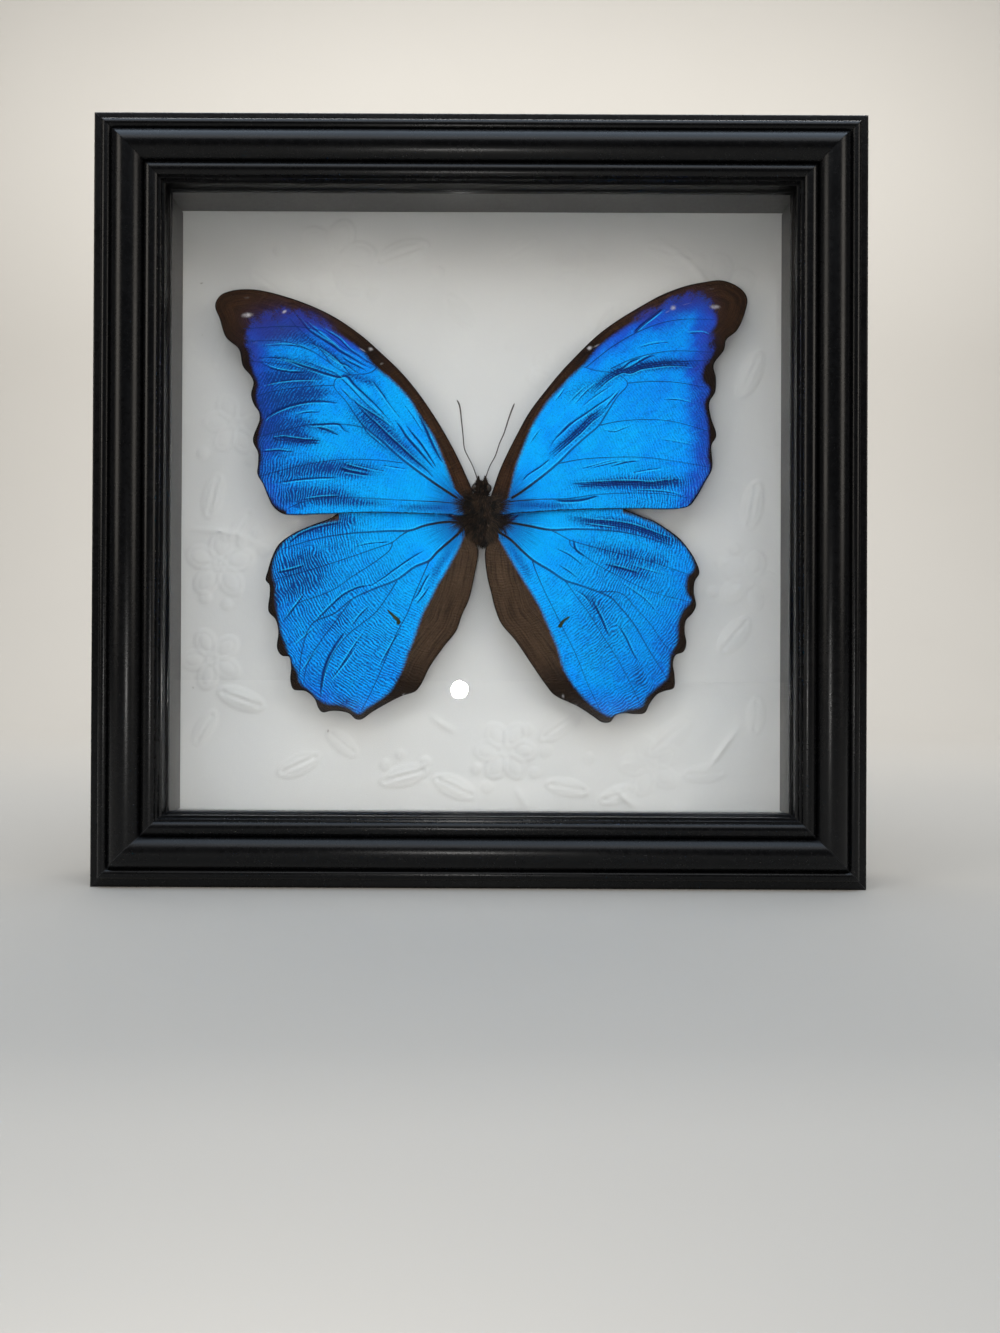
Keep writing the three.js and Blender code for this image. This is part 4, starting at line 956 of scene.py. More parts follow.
def steel_material():
    material, tree, shader, place = new_material("dull_zinc", Metallic=1.0, Roughness=0.4)
    grain = noise(tree, stretched(tree, place, (1, 8, 8)), 700, 3.0, 0.6)
    broad = noise(tree, place, 190, 3.0)
    shade = blend_colour(tree, broad, (0.3, 0.3, 0.29), (0.52, 0.52, 0.5))
    tree.links.new(shade, shader.inputs["Base Color"])
    tree.links.new(rescale(tree, grain, 0.28, 0.55), shader.inputs["Roughness"])
    tree.links.new(bump(tree, grain, 0.00003, 0.5), shader.inputs["Normal"])
    return material


class SPECIMEN_OT_backing(bpy.types.Operator):
    """Makes the board, the points that hold it and the hanger's nails"""

    bl_idname = "specimen.backing"
    bl_label = "Backing and hanger"

    def execute(self, context):
        low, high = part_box("backing_board")
        board = rounded_slab("board", low, high, 0.0004, 3)
        settle(board, board_material(), ["backing_board"])
        steel = steel_material()
        for number in range(1, 9):
            name = f"retainer_{number}"
            settle(self.point(name), steel, [name])
        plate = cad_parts["hanger_plate"]
        plate.data.materials.clear()
        plate.data.materials.append(steel)
        for name in ("hanger_nail_left", "hanger_nail_right"):
            settle(self.nail(name), steel, [name])
        return {"FINISHED"}

    def point(self, name):
        low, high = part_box(name)
        piece = rounded_slab(name + "_point", low, high, 0.00012, 2)
        size = high - low
        edit(piece, lambda face: face.normal.y > 0.9)
        bpy.ops.mesh.inset(thickness=min(size.x, size.z) * 0.28, depth=-size.y * 0.45)
        leave_edit()
        smooth(piece, 40)
        return piece

    def nail(self, name):
        low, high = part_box(name)
        deselect()
        middle = (low + high) / 2
        middle.y = low.y
        bpy.ops.mesh.primitive_uv_sphere_add(segments=32, ring_count=16, radius=1, location=middle)
        piece = added(name + "_head")
        piece.scale = ((high.x - low.x) / 2, high.y - low.y, (high.z - low.z) / 2)
        apply_place(piece)
        edit(piece)
        cut = {"plane_co": (0, low.y + 0.00003, 0), "plane_no": (0, 1, 0), "threshold": 0.000001}
        bpy.ops.mesh.bisect(**cut, use_fill=True, clear_inner=True)
        leave_edit()
        smooth(piece, 50)
        return piece


# The wings

WING_SHEET = 0.00012
# Each wing's table, its root, how far back its front lies, and the seed of its random waves.
WINGS = {
    "forewing_left": (FOREWING_LEFT, (-3.4, 1.0), FOREWING_Y, 11),
    "forewing_right": (FOREWING_RIGHT, (4.2, 1.0), FOREWING_Y, 23),
    "hindwing_left": (HINDWING_LEFT, (-4.4, -3.0), HINDWING_Y, 37),
    "hindwing_right": (HINDWING_RIGHT, (5.2, -3.0), HINDWING_Y, 51),
}


def wing_bow(points):
    """The low arch that carries the wings towards the glass between the body and the tips."""
    reach = np.minimum(np.hypot(points[:, 0] - BODY_X, points[:, 1]) / 78, 1)
    return 1.1 * np.sin(math.pi * reach)


def wing_blank(name, outline, cell):
    """A fine grid cut down to the wing's outline, its rim drawn onto it, with its places in mm."""
    low, high = outline.min(0) - cell, outline.max(0) + cell
    span = high - low
    across, upward = (int(math.ceil(s / cell)) for s in span)
    deselect()
    bpy.ops.mesh.primitive_grid_add(x_subdivisions=across, y_subdivisions=upward, size=2)
    blank = added(name)
    flat = coordinates(blank.data)[:, :2]
    points = low + (flat + 1) / 2 * span
    gap, _, _ = nearest(points, outline, closed=True)
    keep = inside(points, outline) | (gap < 0.45 * cell)
    edit(blank, lambda vertex: not keep[vertex.index], "VERT")
    bpy.ops.mesh.delete(type="VERT")
    leave_edit()
    trim_loose(blank)
    points = low + (coordinates(blank.data)[:, :2] + 1) / 2 * span
    mesh = bmesh.new()
    mesh.from_mesh(blank.data)
    rim = [v.index for v in mesh.verts if v.is_boundary]
    mesh.free()
    _, _, spot = nearest(points[rim], outline, closed=True)
    points[rim] = spot
    return blank, points


def trim_loose(blank):
    """Takes off what is loose or hangs on by one corner, so that the rim is one clean loop."""
    mesh = bmesh.new()
    mesh.from_mesh(blank.data)
    while True:
        loose = [v for v in mesh.verts if not v.link_faces]
        pinched = [v for v in mesh.verts if sum(e.is_boundary for e in v.link_edges) > 2]
        if not loose and not pinched:
            break
        bmesh.ops.delete(mesh, geom=list(set(loose + pinched)), context="VERTS")
    mesh.to_mesh(blank.data)
    mesh.free()


def line_gap(points, rows, closest=9.0):
    """Smallest distance to any of the lines, over that line's own half width at its nearest place.

    Each row is a line, its half width at either end, and whether it tapers away at both ends.
    """
    best = np.full(len(points), closest)
    for curve, first, last, tapered in rows:
        near = near_rows(points, curve, 3.5)
        gap, along, _ = nearest(points[near], curve)
        width = first + (last - first) * along
        if tapered:
            width = width * np.sqrt(np.clip(np.sin(math.pi * along), 0.03, 1))
        best[near] = np.minimum(best[near], gap / width)
    return best


def beside(curve, side, away):
    """The line moved sideways: towards the top for side 1, towards the bottom for side -1."""
    run = np.gradient(curve, axis=0)
    normal = np.stack([-run[:, 1], run[:, 0]], 1) / np.linalg.norm(run, axis=1)[:, None]
    normal[normal[:, 1] < 0] *= -1
    return curve + normal * side * away


def vein_rows(wing):
    """The stems thin out from the root; the branches stay fine."""
    rows = []
    for number, vein in enumerate(wing["veins"]):
        wide = number in wing["stems"]
        rows.append((flowing(vein, 0.5), 0.38 if wide else 0.17, 0.14, False))
    return rows


def pleat_rows(wing):
    # dark holds the creases, painted as shade; pale holds the crests beside them and a line above each
    # stem, painted as highlights
    dark, pale = [], []
    for width, side, points in wing["pleats"]:
        curve = flowing(points, 0.5)
        if width > 0.5:
            dark += [(beside(curve, 1, away * width), 0.2, 0.2, True) for away in (-0.8, 0, 0.7)]
        else:
            dark.append((curve, width, width, True))
        pale.append((beside(curve, side, width + 0.24), 0.2, 0.2, True))
    for number in wing["stems"]:
        curve = flowing(wing["veins"][number], 0.5)
        pale.append((beside(curve, 1, 0.55)[4:60], 0.2, 0.16, True))
    return dark, pale


def fold_bands(wing):
    """The painted shade bands along a wing's undulations, and one more around each of its widest folds.
    """
    folds = [(2.0 * width, 0.8, points) for width, _, points in wing["pleats"] if width > 0.5]
    return wing["shades"] + folds


def soft_bands(points, bands):
    """Broad bands without an edge, each with its half width and its depth."""
    shade = np.zeros(len(points))
    for width, depth, band in bands:
        curve = flowing(band, 0.8)
        rows = near_rows(points, curve, 3 * width)
        gap, along, _ = nearest(points[rows], curve)
        ends = np.clip(np.sin(math.pi * np.clip(along, 0.02, 0.98)) * 1.15, 0, 1)
        soft = depth * ends * np.exp(-((gap / width) ** 2))
        shade[rows] = shade[rows] + soft - shade[rows] * soft
    return shade


def smudges(points, flecks):
    spots = np.zeros(len(points))
    for x, z, length, width, turn, strength in flecks:
        angle = math.radians(turn)
        along = (points[:, 0] - x) * math.cos(angle) + (points[:, 1] - z) * math.sin(angle)
        across = (points[:, 1] - z) * math.cos(angle) - (points[:, 0] - x) * math.sin(angle)
        spots = np.maximum(spots, strength * np.exp(-((along / length) ** 2) - (across / width) ** 2))
    return spots


def wing_height(points, columns, reach, edge_gap, seed):
    """Creases sunk in, crests and veins standing up, and a gentle swell over the whole wing."""
    height = 0.2 * value_noise(points, 11, seed) + 0.1 * value_noise(points, 4.5, seed + 1)
    height -= 0.24 * np.exp(-((columns["crease"] * 0.8) ** 2)) + 0.12 * columns["shade"]
    height += 0.12 * np.exp(-((columns["crest"] * 0.8) ** 2))
    height += 0.08 * np.exp(-((columns["vein"] * 0.8) ** 2))
    height = height * np.clip(reach / 6, 0, 1) - 0.9 * np.exp(-((reach / 6.0) ** 2))
    curl = np.exp(-edge_gap / 1.6) * np.clip(reach / 30 - 0.4, 0, 1)
    return height - 0.3 * curl * value_noise(points, 6, seed + 2)


def ripple_amount(points, reach, ripple, seed):
    """How strongly the ripples' painted shade and glints show: away from the root and below a given
    height, in some patches more than in others.
    """
    strength, top = ripple
    low = np.clip((top - points[:, 1]) / 14 + 0.5, 0.12, 1)
    away = np.clip((reach - 12) / 24, 0, 1)
    return strength * low * away * (0.8 + 0.4 * value_noise(points, 10, seed))


def shape_wing(name, wing, root, front_y, seed):
    tool = settings()
    outline = flowing(wing["outline"], 0.3, closed=True)
    blank, points = wing_blank(name + "_skin", outline, tool.wing_cell / MM)
    edge_gap, _, _ = nearest(points, outline, closed=True)
    blue_gap, _, _ = nearest(points, flowing(wing["blue_edge"], 0.4))
    reach = np.hypot(points[:, 0] - root[0], points[:, 1] - root[1])
    dark, pale = pleat_rows(wing)
    tear = [(flowing(wing["tear"], 0.2), 0.2, 0.5, False)] if "tear" in wing else []
    columns = {
        "edge": edge_gap,
        "field": blue_gap * np.where(inside(points, blue_loop(name, wing, root)), 1, -1),
        "vein": line_gap(points, vein_rows(wing)),
        # crease, crest, shade and mottle carry painted light: shade in the creases, highlights on the
        # crests, painted shade bands, and how strongly the ripples' painted shade and glints show
        "crease": line_gap(points, dark),
        "crest": line_gap(points, pale),
        "shade": soft_bands(points, fold_bands(wing)),
        "haze": soft_bands(points, wing.get("haze", [])),
        "reach": reach,
        "fleck": smudges(points, wing["flecks"]),
        "tear": line_gap(points, tear),
        "mottle": ripple_amount(points, reach, wing["ripple"], seed + 7),
        "sweep": 30 * np.arctan2(points[:, 1] - root[1], np.abs(points[:, 0] - root[0])),
        "swell": value_noise(points, 9, seed + 5) * 0.6 + value_noise(points, 4, seed + 6) * 0.4,
    }
    height = wing_height(points, columns, reach, edge_gap, seed)
    y = front_y - wing_bow(points) - height * tool.wing_relief
    places = np.stack([points[:, 0] * MM, y * MM, points[:, 1] * MM + CENTRE.z], 1)
    place_vertices(blank.data, places)
    for key, column in columns.items():
        store(blank.data, key, column)
    backing = {"material_offset": 1, "material_offset_rim": 1}
    with_modifier(blank, "SOLIDIFY", thickness=WING_SHEET, offset=-1, use_rim=True, **backing)
    return blank


def blue_loop(name, wing, root):
    """The blue field closed through the wing's root, for telling its inside from its outside."""
    line = flowing(wing["blue_edge"], 0.4)
    side = -1 if name.endswith("left") else 1
    if name.startswith("forewing"):
        extra = [(side * 52, -8), (side * 4, -8), (side * 3, 1)]
    else:
        extra = [(side * 4.4, -6), (side * 4, 8), (side * 38, 8)]
    return np.vstack([line, extra])


def blue_tone(tree, place, field, reach, swell, streaks, margin_blue):
    """Azure in the middle, royal blue further out, violet along the margin."""
    patch = noise(tree, place, 150, 3.0, 0.6)
    far = smooth_step(tree, reach, 30.0, 72.0)
    by_edge = smooth_step(tree, field, 8.0, 0.0)
    outer = times(tree, by_edge, smooth_step(tree, reach, 34.0, 56.0))
    tone = plus(tree, times(tree, outer, margin_blue), rescale(tree, patch, -0.2, 0.3))
    tone = plus(tree, tone, times(tree, far, 0.3))
    tone = plus(tree, tone, times(tree, swell, 0.16))
    tone = plus(tree, tone, rescale(tree, streaks, -0.3, 0.36))
    ramp = add_node(tree, "ShaderNodeValToRGB", {0: tone})
    stops = ramp.color_ramp.elements
    stops[0].position, stops[0].color = 0.0, (0.0, 0.38, 0.9, 1)
    stops[1].position, stops[1].color = 1.0, tuple(settings().violet) + (1,)
    middle = stops.new(0.34)
    middle.color = tuple(settings().azure) + (1,)
    late = stops.new(0.68)
    late.color = (0.008, 0.095, 0.62, 1)
    return ramp.outputs[0]


def ripples(tree, place, reach):
    """Short wavy dashes that cross the spaces between the veins, from 0 to 1."""
    wide = times(tree, noise(tree, place, 290, 2.0, 0.45), 18.0)
    phase = plus(tree, times(tree, reach, 8.4), wide)
    swing = smooth_step(tree, noise(tree, place, 560, 2.0), 0.3, 0.55)
    wave = math_node(tree, "SINE", phase)
    return math_node(tree, "MULTIPLY_ADD", wave, rescale(tree, swing, 0.14, 0.5), 0.5)


def silk(tree, reach, sweep):
    """Fine streaks that fan out from the wing's root, from 0 to 1."""
    fan = add_node(tree, "ShaderNodeCombineXYZ", {0: sweep, 1: times(tree, reach, 0.12)})
    return noise(tree, fan.outputs[0], 1.3, 4.0, 0.65)


def brown_bark(tree, place, edge, reach, grain, lobe, costa):
    """Brown scales with soft streaks that run along the wing's edge."""
    drift = noise(tree, place, 260, 3.0, 0.5)
    across = plus(tree, times(tree, edge, 2.4), times(tree, drift, 2.2))
    lane = add_node(tree, "ShaderNodeCombineXYZ", {0: across, 1: times(tree, reach, 0.1)}).outputs[0]
    streaks = noise(tree, lane, 1.0, 3.0, 0.6)
    bark = blend_colour(tree, smooth_step(tree, streaks, 0.25, 0.75), lobe, costa)
    return blend_colour(tree, rescale(tree, grain, -0.5, 0.9), bark, (0.006, 0.004, 0.0025))


def scale_material(name, lobe, costa, margin_blue):
    """Shining blue scales with a brown border, dark veins, pale flecks, and pleats, ripples and bands
    painted with their shade and highlights.
    """
    material, tree, shader, place = new_material(name, Roughness=0.42, Specular_IOR_Level=0.05)
    field, vein, crease, crest = (attribute(tree, key) for key in ("field", "vein", "crease", "crest"))
    shade, haze, reach, fleck = (attribute(tree, key) for key in ("shade", "haze", "reach", "fleck"))
    tear, swell, edge = (attribute(tree, key) for key in ("tear", "swell", "edge"))
    sweep, mottle = (attribute(tree, key) for key in ("sweep", "mottle"))
    grain = noise(tree, place, 2100, 3.0, 0.75)
    streaks = silk(tree, reach, sweep)
    colour = blue_tone(tree, place, field, reach, swell, streaks, margin_blue)
    # painted shade: the dark bands of the wing's undulations break up into ripples, and fine ripples
    # show everywhere away from the root as painted shade and painted glints
    wave = ripples(tree, place, reach)
    away = smooth_step(tree, reach, 16.0, 40.0)
    rippled_shade = times(tree, shade, rescale(tree, away, 0.1, 0.45))
    amount = plus(tree, rippled_shade, times(tree, mottle, 0.5))
    depth = times(tree, amount, rescale(tree, wave, 0.0, 1.9))
    depth = plus(tree, depth, times(tree, shade, 0.74))
    speck = times(tree, rescale(tree, grain, -1.4, 1.4), rescale(tree, away, 0.6, 1.0))
    depth = plus(tree, depth, speck)
    depth = add_node(tree, "ShaderNodeClamp", {0: depth}).outputs[0]
    colour = blend_colour(tree, depth, colour, (0.004, 0.034, 0.2))
    # painted glints: bright azure dashes on the ripples
    glint = smooth_step(tree, plus(tree, wave, rescale(tree, grain, -0.5, 0.5)), 0.5, 0.0)
    glint = times(tree, glint, times(tree, mottle, 0.75))
    colour = blend_colour(tree, glint, colour, (0.004, 0.43, 1.0))
    # pleats: painted shade in the dark crease and a painted highlight on the bright crest beside it
    rough_line = rescale(tree, noise(tree, place, 1100, 2.0), -0.25, 0.25)
    sunk_and_shaded_crease = smooth_step(tree, plus(tree, crease, rough_line), 1.25, 0.35)
    by_root = smooth_step(tree, reach, 12.0, 5.0)
    painted_groove_shade = blend_colour(tree, by_root, (0.002, 0.018, 0.13), (0.008, 0.005, 0.004))
    colour = blend_colour(tree, times(tree, sunk_and_shaded_crease, 0.93), colour, painted_groove_shade)
    painted_crest_highlight = smooth_step(tree, plus(tree, crest, rough_line), 1.2, 0.2)
    colour = blend_colour(tree, times(tree, painted_crest_highlight, 0.75), colour, (0.02, 0.55, 1.0))
    # brown: the border, the inner lobe, the veins and the wing's base
    ragged = rescale(tree, noise(tree, place, 2600, 3.0, 0.7), -0.55, 0.55)
    loose = rescale(tree, plus(tree, streaks, rescale(tree, grain, -0.5, 0.5)), -7.5, 9.0)
    loose = times(tree, haze, loose)
    wobble = plus(tree, plus(tree, field, ragged), loose)
    wobble = math_node(tree, "DIVIDE", wobble, rescale(tree, haze, 1.0, 4.5))
    brown = smooth_step(tree, wobble, 0.7, -0.7)
    veil = times(tree, times(tree, haze, brown), 0.45)
    bark = brown_bark(tree, place, edge, reach, grain, lobe, costa)
    bark = blend_colour(tree, veil, bark, (0.016, 0.015, 0.11))
    dim = times(tree, haze, 0.84)
    colour = blend_colour(tree, dim, colour, (0.022, 0.028, 0.2))
    margin = times(tree, smooth_step(tree, reach, 36.0, 50.0), low_part(tree, place))
    bark = blend_colour(tree, times(tree, margin, 0.8), bark, (0.006, 0.003, 0.002))
    colour = blend_colour(tree, brown, colour, bark)
    # the base: dark blue specks further out, then brown hair-like streaks by the body
    near = plus(tree, reach, rescale(tree, grain, -5.0, 5.0))
    near = plus(tree, near, rescale(tree, streaks, -9.0, 9.0))
    dusk = times(tree, smooth_step(tree, near, 14.0, 4.0), rescale(tree, brown, 0.7, 0.0))
    colour = blend_colour(tree, dusk, colour, (0.003, 0.03, 0.2))
    root = plus(tree, reach, rescale(tree, streaks, -7.0, 7.0))
    colour = blend_colour(tree, smooth_step(tree, root, 4.6, 2.8), colour, (0.014, 0.008, 0.005))
    line = smooth_step(tree, vein, 1.35, 0.55)
    rooty = smooth_step(tree, reach, 24.0, 5.0)
    ink = blend_colour(tree, rooty, (0.003, 0.018, 0.11), (0.012, 0.008, 0.007))
    colour = blend_colour(tree, times(tree, line, rescale(tree, rooty, 0.8, 1.0)), colour, ink)
    rim = smooth_step(tree, plus(tree, edge, rough_line), 0.5, 0.15)
    colour = blend_colour(tree, times(tree, rim, 0.9), colour, (0.004, 0.003, 0.002))
    # pale flecks; the one at the left hindwing's base is a painted glint
    broken = rescale(tree, noise(tree, place, 900, 3.0, 0.7), 0.1, 1.7)
    pale = smooth_step(tree, times(tree, fleck, broken), 0.12, 0.9)
    colour = blend_colour(tree, pale, colour, (0.5, 0.48, 0.5))
    worn = smooth_step(tree, plus(tree, tear, rough_line), 1.4, 0.8)
    colour = blend_colour(tree, worn, colour, (0.022, 0.026, 0.008))
    tree.links.new(colour, shader.inputs["Base Color"])
    dull = larger(tree, brown, larger(tree, line, pale))
    tree.links.new(rescale(tree, dull, 0.42, 0.0), shader.inputs["Metallic"])
    tree.links.new(rescale(tree, dull, 0.42, 0.8), shader.inputs["Roughness"])
    height = minus(tree, times(tree, grain, 0.7), times(tree, wave, 0.8))
    height = minus(tree, height, sunk_and_shaded_crease)
    tree.links.new(bump(tree, height, 0.00012, 0.9), shader.inputs["Normal"])
    return material


def low_part(tree, place):
    """Rises from 0 at the forewings' tips to 1 below, where the margin is nearly black."""
    upward = add_node(tree, "ShaderNodeSeparateXYZ", {0: place}).outputs["Z"]
    return smooth_step(tree, upward, 0.152, 0.141)


def underside_material():
    material, tree, shader, place = new_material("brown_underside", Roughness=0.8)
    streaks = noise(tree, place, 200, 4.0, 0.6)
    shade = blend_colour(tree, streaks, (0.018, 0.011, 0.006), (0.075, 0.05, 0.03))
    tree.links.new(shade, shader.inputs["Base Color"])
    return material


class SPECIMEN_OT_wings(bpy.types.Operator):
    """Cuts, folds and colours the four spread wings"""

    bl_idname = "specimen.wings"
    bl_label = "Spread wings"

    def execute(self, context):
        fore = scale_material("forewing_scales", (0.013, 0.006, 0.003), (0.06, 0.026, 0.011), 0.5)
        hind = scale_material("hindwing_scales", (0.026, 0.014, 0.008), (0.08, 0.048, 0.028), 0.16)
        under = underside_material()
        for name, (wing, root, front_y, seed) in WINGS.items():
            skin = shape_wing(name, wing, root, front_y, seed)
            skin.data.materials.append(fore if name.startswith("fore") else hind)
            skin.data.materials.append(under)
            smooth(skin, 80)
            settle(skin, None, [name])
        return {"FINISHED"}


# The body

# Lumps of the body as (x, y, z) and radii, X and Z from the frame's centre, in millimetres.
THORAX = [
    ((0.4, 4.25, -1.2), (2.65, 2.55, 4.4)),
    ((0.4, 4.7, -5.6), (2.0, 1.95, 3.3)),
    ((0.2, 4.1, 2.9), (1.95, 2.0, 1.8)),
    ((-2.3, 3.4, 0.8), (1.35, 1.5, 2.7)),
    ((3.1, 3.4, 0.6), (1.35, 1.5, 2.7)),
    ((-2.5, 3.9, -3.0), (1.3, 1.3, 2.2)),
    ((3.3, 3.9, -3.2), (1.3, 1.3, 2.2)),
    ((0.15, 3.75, 5.5), (1.85, 1.75, 1.75)),
]
EYES = {"eye_left": (-1.7, 3.3, 5.8), "eye_right": (2.0, 3.3, 5.75)}
EYE_RADII = (0.92, 1.1, 1.2)
# Where each tuft starts, and how far its tip lies from there.
TUFTS = [((-0.85, 3.1, 6.6), (0.25, -0.3, 2.6)), ((1.2, 3.1, 6.6), (-0.1, -0.3, 2.7))]
TUFT_HAIRS = 420
BASE_HAIRS = 1500
STRAIGHT = np.zeros((1, 3))


def lump(place, radii):
    deselect()
    where = Vector(place) * MM + Vector((0, 0, CENTRE.z))
    bpy.ops.mesh.primitive_uv_sphere_add(segments=40, ring_count=24, radius=1, location=where)
    made = added("lump")
    made.scale = Vector(radii) * MM
    apply_place(made)
    return made


def fur_material(name, dark, light):
    material, tree, shader, place = new_material(name, Roughness=0.6, Specular_IOR_Level=0.12)
    shade = attribute(tree, "shade")
    patch = noise(tree, place, 500, 2.0)
    tone = plus(tree, shade, rescale(tree, patch, -0.3, 0.3))
    tree.links.new(blend_colour(tree, tone, dark, light), shader.inputs["Base Color"])
    tree.links.new(rescale(tree, shade, 0.65, 0.45), shader.inputs["Roughness"])
    return material


def hair_mesh(name, roots, ways, lengths, widths, droop, shades):
    """Thin tapered hairs, three-sided and closed, joined in one mesh; roots in millimetres."""
    count = len(roots)
    ways = ways / np.linalg.norm(ways, axis=1)[:, None]
    side = np.cross(ways, np.array([0.31, 0.83, 0.47]))
    side /= np.linalg.norm(side, axis=1)[:, None]
    other = np.cross(ways, side)
    rings = []
    for t, size in ((0.0, 1.0), (0.4, 0.85), (0.75, 0.5)):
        middle = roots + ways * (lengths * t)[:, None] + droop * (lengths * t * t)[:, None]
        for k in range(3):
            angle = 2 * math.pi * k / 3
            around = side * math.cos(angle) + other * math.sin(angle)
            rings.append(middle + around * (widths * size)[:, None])
    rings.append(roots + ways * lengths[:, None] + droop * lengths[:, None])
    points = np.stack(rings, 1).reshape(-1, 3)
    faces = [(0, 2, 1)]
    for ring in (0, 3):
        faces += [(ring + k, ring + (k + 1) % 3, ring + 3 + (k + 1) % 3, ring + 3 + k) for k in range(3)]
    faces += [(6 + k, 6 + (k + 1) % 3, 9) for k in range(3)]
    every = [tuple(10 * i + k for k in face) for i in range(count) for face in faces]
    mesh = bpy.data.meshes.new(name)
    mesh.from_pydata((points * MM + (0, 0, CENTRE.z)).tolist(), [], every)
    store(mesh, "shade", np.repeat(shades, 10))
    piece = bpy.data.objects.new(name, mesh)
    bpy.context.scene.collection.objects.link(piece)
    return piece


def scatter(core, count, rng):
    """Even random places on the core, in millimetres from the frame's centre, and its normals there."""
    core.data.calc_loop_triangles()
    corners = coordinates(core.data)
    rows = np.array([tri.vertices for tri in core.data.loop_triangles])
    a, b, c = (corners[rows[:, k]] for k in range(3))
    normal = np.cross(b - a, c - a)
    area = np.linalg.norm(normal, axis=1)
    normal /= np.maximum(area, 1e-12)[:, None]
    which = rng.choice(len(rows), count, p=area / area.sum())
    u, v = rng.random(count), rng.random(count)
    flip = u + v > 1
    u[flip], v[flip] = 1 - u[flip], 1 - v[flip]
    spots = a[which] + (b - a)[which] * u[:, None] + (c - a)[which] * v[:, None]
    return (spots - (0, 0, CENTRE.z)) / MM, normal[which]


class SPECIMEN_OT_body(bpy.types.Operator):
    """Fuses head and thorax from rounded lumps and covers them with short hair"""

    bl_idname = "specimen.body"
    bl_label = "Head and thorax"

    def execute(self, context):
        lumps = [lump(place, radii) for place, radii in THORAX]
        deselect()
        for made in lumps:
            made.select_set(True)
        bpy.context.view_layer.objects.active = lumps[0]
        bpy.ops.object.join()
        core = added("thorax_skin")
        with_modifier(core, "REMESH", mode="VOXEL", voxel_size=0.0002)
        with_modifier(core, "SMOOTH", factor=0.6, iterations=6)
        store(core.data, "shade", np.full(len(core.data.vertices), 0.1))
        smooth(core, 80)
        skin = fur_material("thorax_skin", (0.004, 0.0025, 0.002), (0.02, 0.012, 0.007))
        settle(core, skin, ["body"])
        fur = fur_material("thorax_hair", (0.003, 0.002, 0.0012), (0.088, 0.048, 0.024))
        settle(self.coat(core), fur)
        settle(self.tufts(), fur)
        settle(self.wing_base_hair(), fur)
        self.eyes()
        return {"FINISHED"}

    def coat(self, core):
        rng = np.random.default_rng(8)
        roots, normals = scatter(core, settings().hair_count, rng)
        front = roots[:, 1] < 5.6
        roots, normals = roots[front], normals[front]
        on_head = np.clip((roots[:, 2] - 3.6) / 1.2, 0, 1)[:, None]
        comb = np.array([0, -0.05, -1.0]) * (1 - on_head) + np.array([0, -0.2, 0.7]) * on_head
        outward = np.stack([(roots[:, 0] - BODY_X) * 0.16, np.zeros(len(roots)), np.zeros(len(roots))], 1)
        clump = value_noise(roots[:, ::2], 0.9, 12)
        lean = np.stack([clump, np.zeros(len(roots)), value_noise(roots[:, ::2], 0.9, 13)], 1)
        ways = normals * 0.7 + comb + outward + 0.45 * lean + rng.normal(0, 0.22, roots.shape)
        lengths = rng.uniform(0.8, 1.9, len(roots)) * (1 - 0.4 * on_head[:, 0])
        widths = rng.uniform(0.05, 0.11, len(roots))
        # painted shade in the grooves beside the thorax's middle ridge: the hairs there are made darker
        painted_groove_shade = np.exp(-(((np.abs(roots[:, 0] - BODY_X) - 2.7) / 0.5) ** 2)) * (1 - on_head[:, 0])
        shades = np.clip(0.3 * clump - 0.08 - 0.4 * painted_groove_shade + rng.exponential(0.26, len(roots)), 0, 1)
        droop = comb * 0.25
        return hair_mesh("thorax_hair", roots - normals * 0.1, ways, lengths, widths, droop, shades)

    def tufts(self):
        """The two pointed brushes that the antennae rise from."""
        rng = np.random.default_rng(15)
        rows = [], [], []
        for start, reach in TUFTS:
            spread = rng.normal(0, 1, (TUFT_HAIRS, 3)) * (0.42, 0.36, 0.3)
            aim = np.array(start) + np.array(reach)
            rows[0].append(np.array(start) + spread)
            rows[1].append(aim + rng.normal(0, 0.1, (TUFT_HAIRS, 3)) - rows[0][-1])
            rows[2].append(np.linalg.norm(rows[1][-1], axis=1) * rng.uniform(0.45, 1.0, TUFT_HAIRS))
        roots, ways, lengths = (np.concatenate(part) for part in rows)
        shades = np.clip(rng.normal(0.15, 0.15, len(roots)), 0, 1)
        widths = np.full(len(roots), 0.04)
        return hair_mesh("head_tufts", roots, ways, lengths, widths, STRAIGHT, shades)

    def wing_base_hair(self):
        """Longer hairs that run out from the thorax over the wing roots."""
        rng = np.random.default_rng(21)
        count = BASE_HAIRS
        side = rng.choice((-1, 1), count)
        z = rng.uniform(-8.0, 3.2, count)
        out = rng.uniform(1.5, 3.6, count) * np.interp(z, [-8, -5, 3.2], [0.55, 1, 0.9])
        roots = np.stack([BODY_X + side * out, rng.uniform(1.7, 2.7, count), z], 1)
        lift = rng.normal(-0.04, 0.08, count)
        fall = np.interp(z, [-8, -3, 0, 3.2], [-1.6, -0.5, 0.05, 0.5]) + rng.normal(0, 0.22, count)
        ways = np.stack([side * rng.uniform(0.6, 1.0, count), lift, fall], 1)
        lengths = rng.uniform(1.0, 3.0, count)
        clump = value_noise(roots[:, ::2], 0.8, 14)
        shades = np.clip(0.3 * clump - 0.1 + rng.exponential(0.24, count), 0, 1)
        widths = rng.uniform(0.04, 0.075, count)
        return hair_mesh("wing_base_hair", roots, ways, lengths, widths, STRAIGHT, shades)

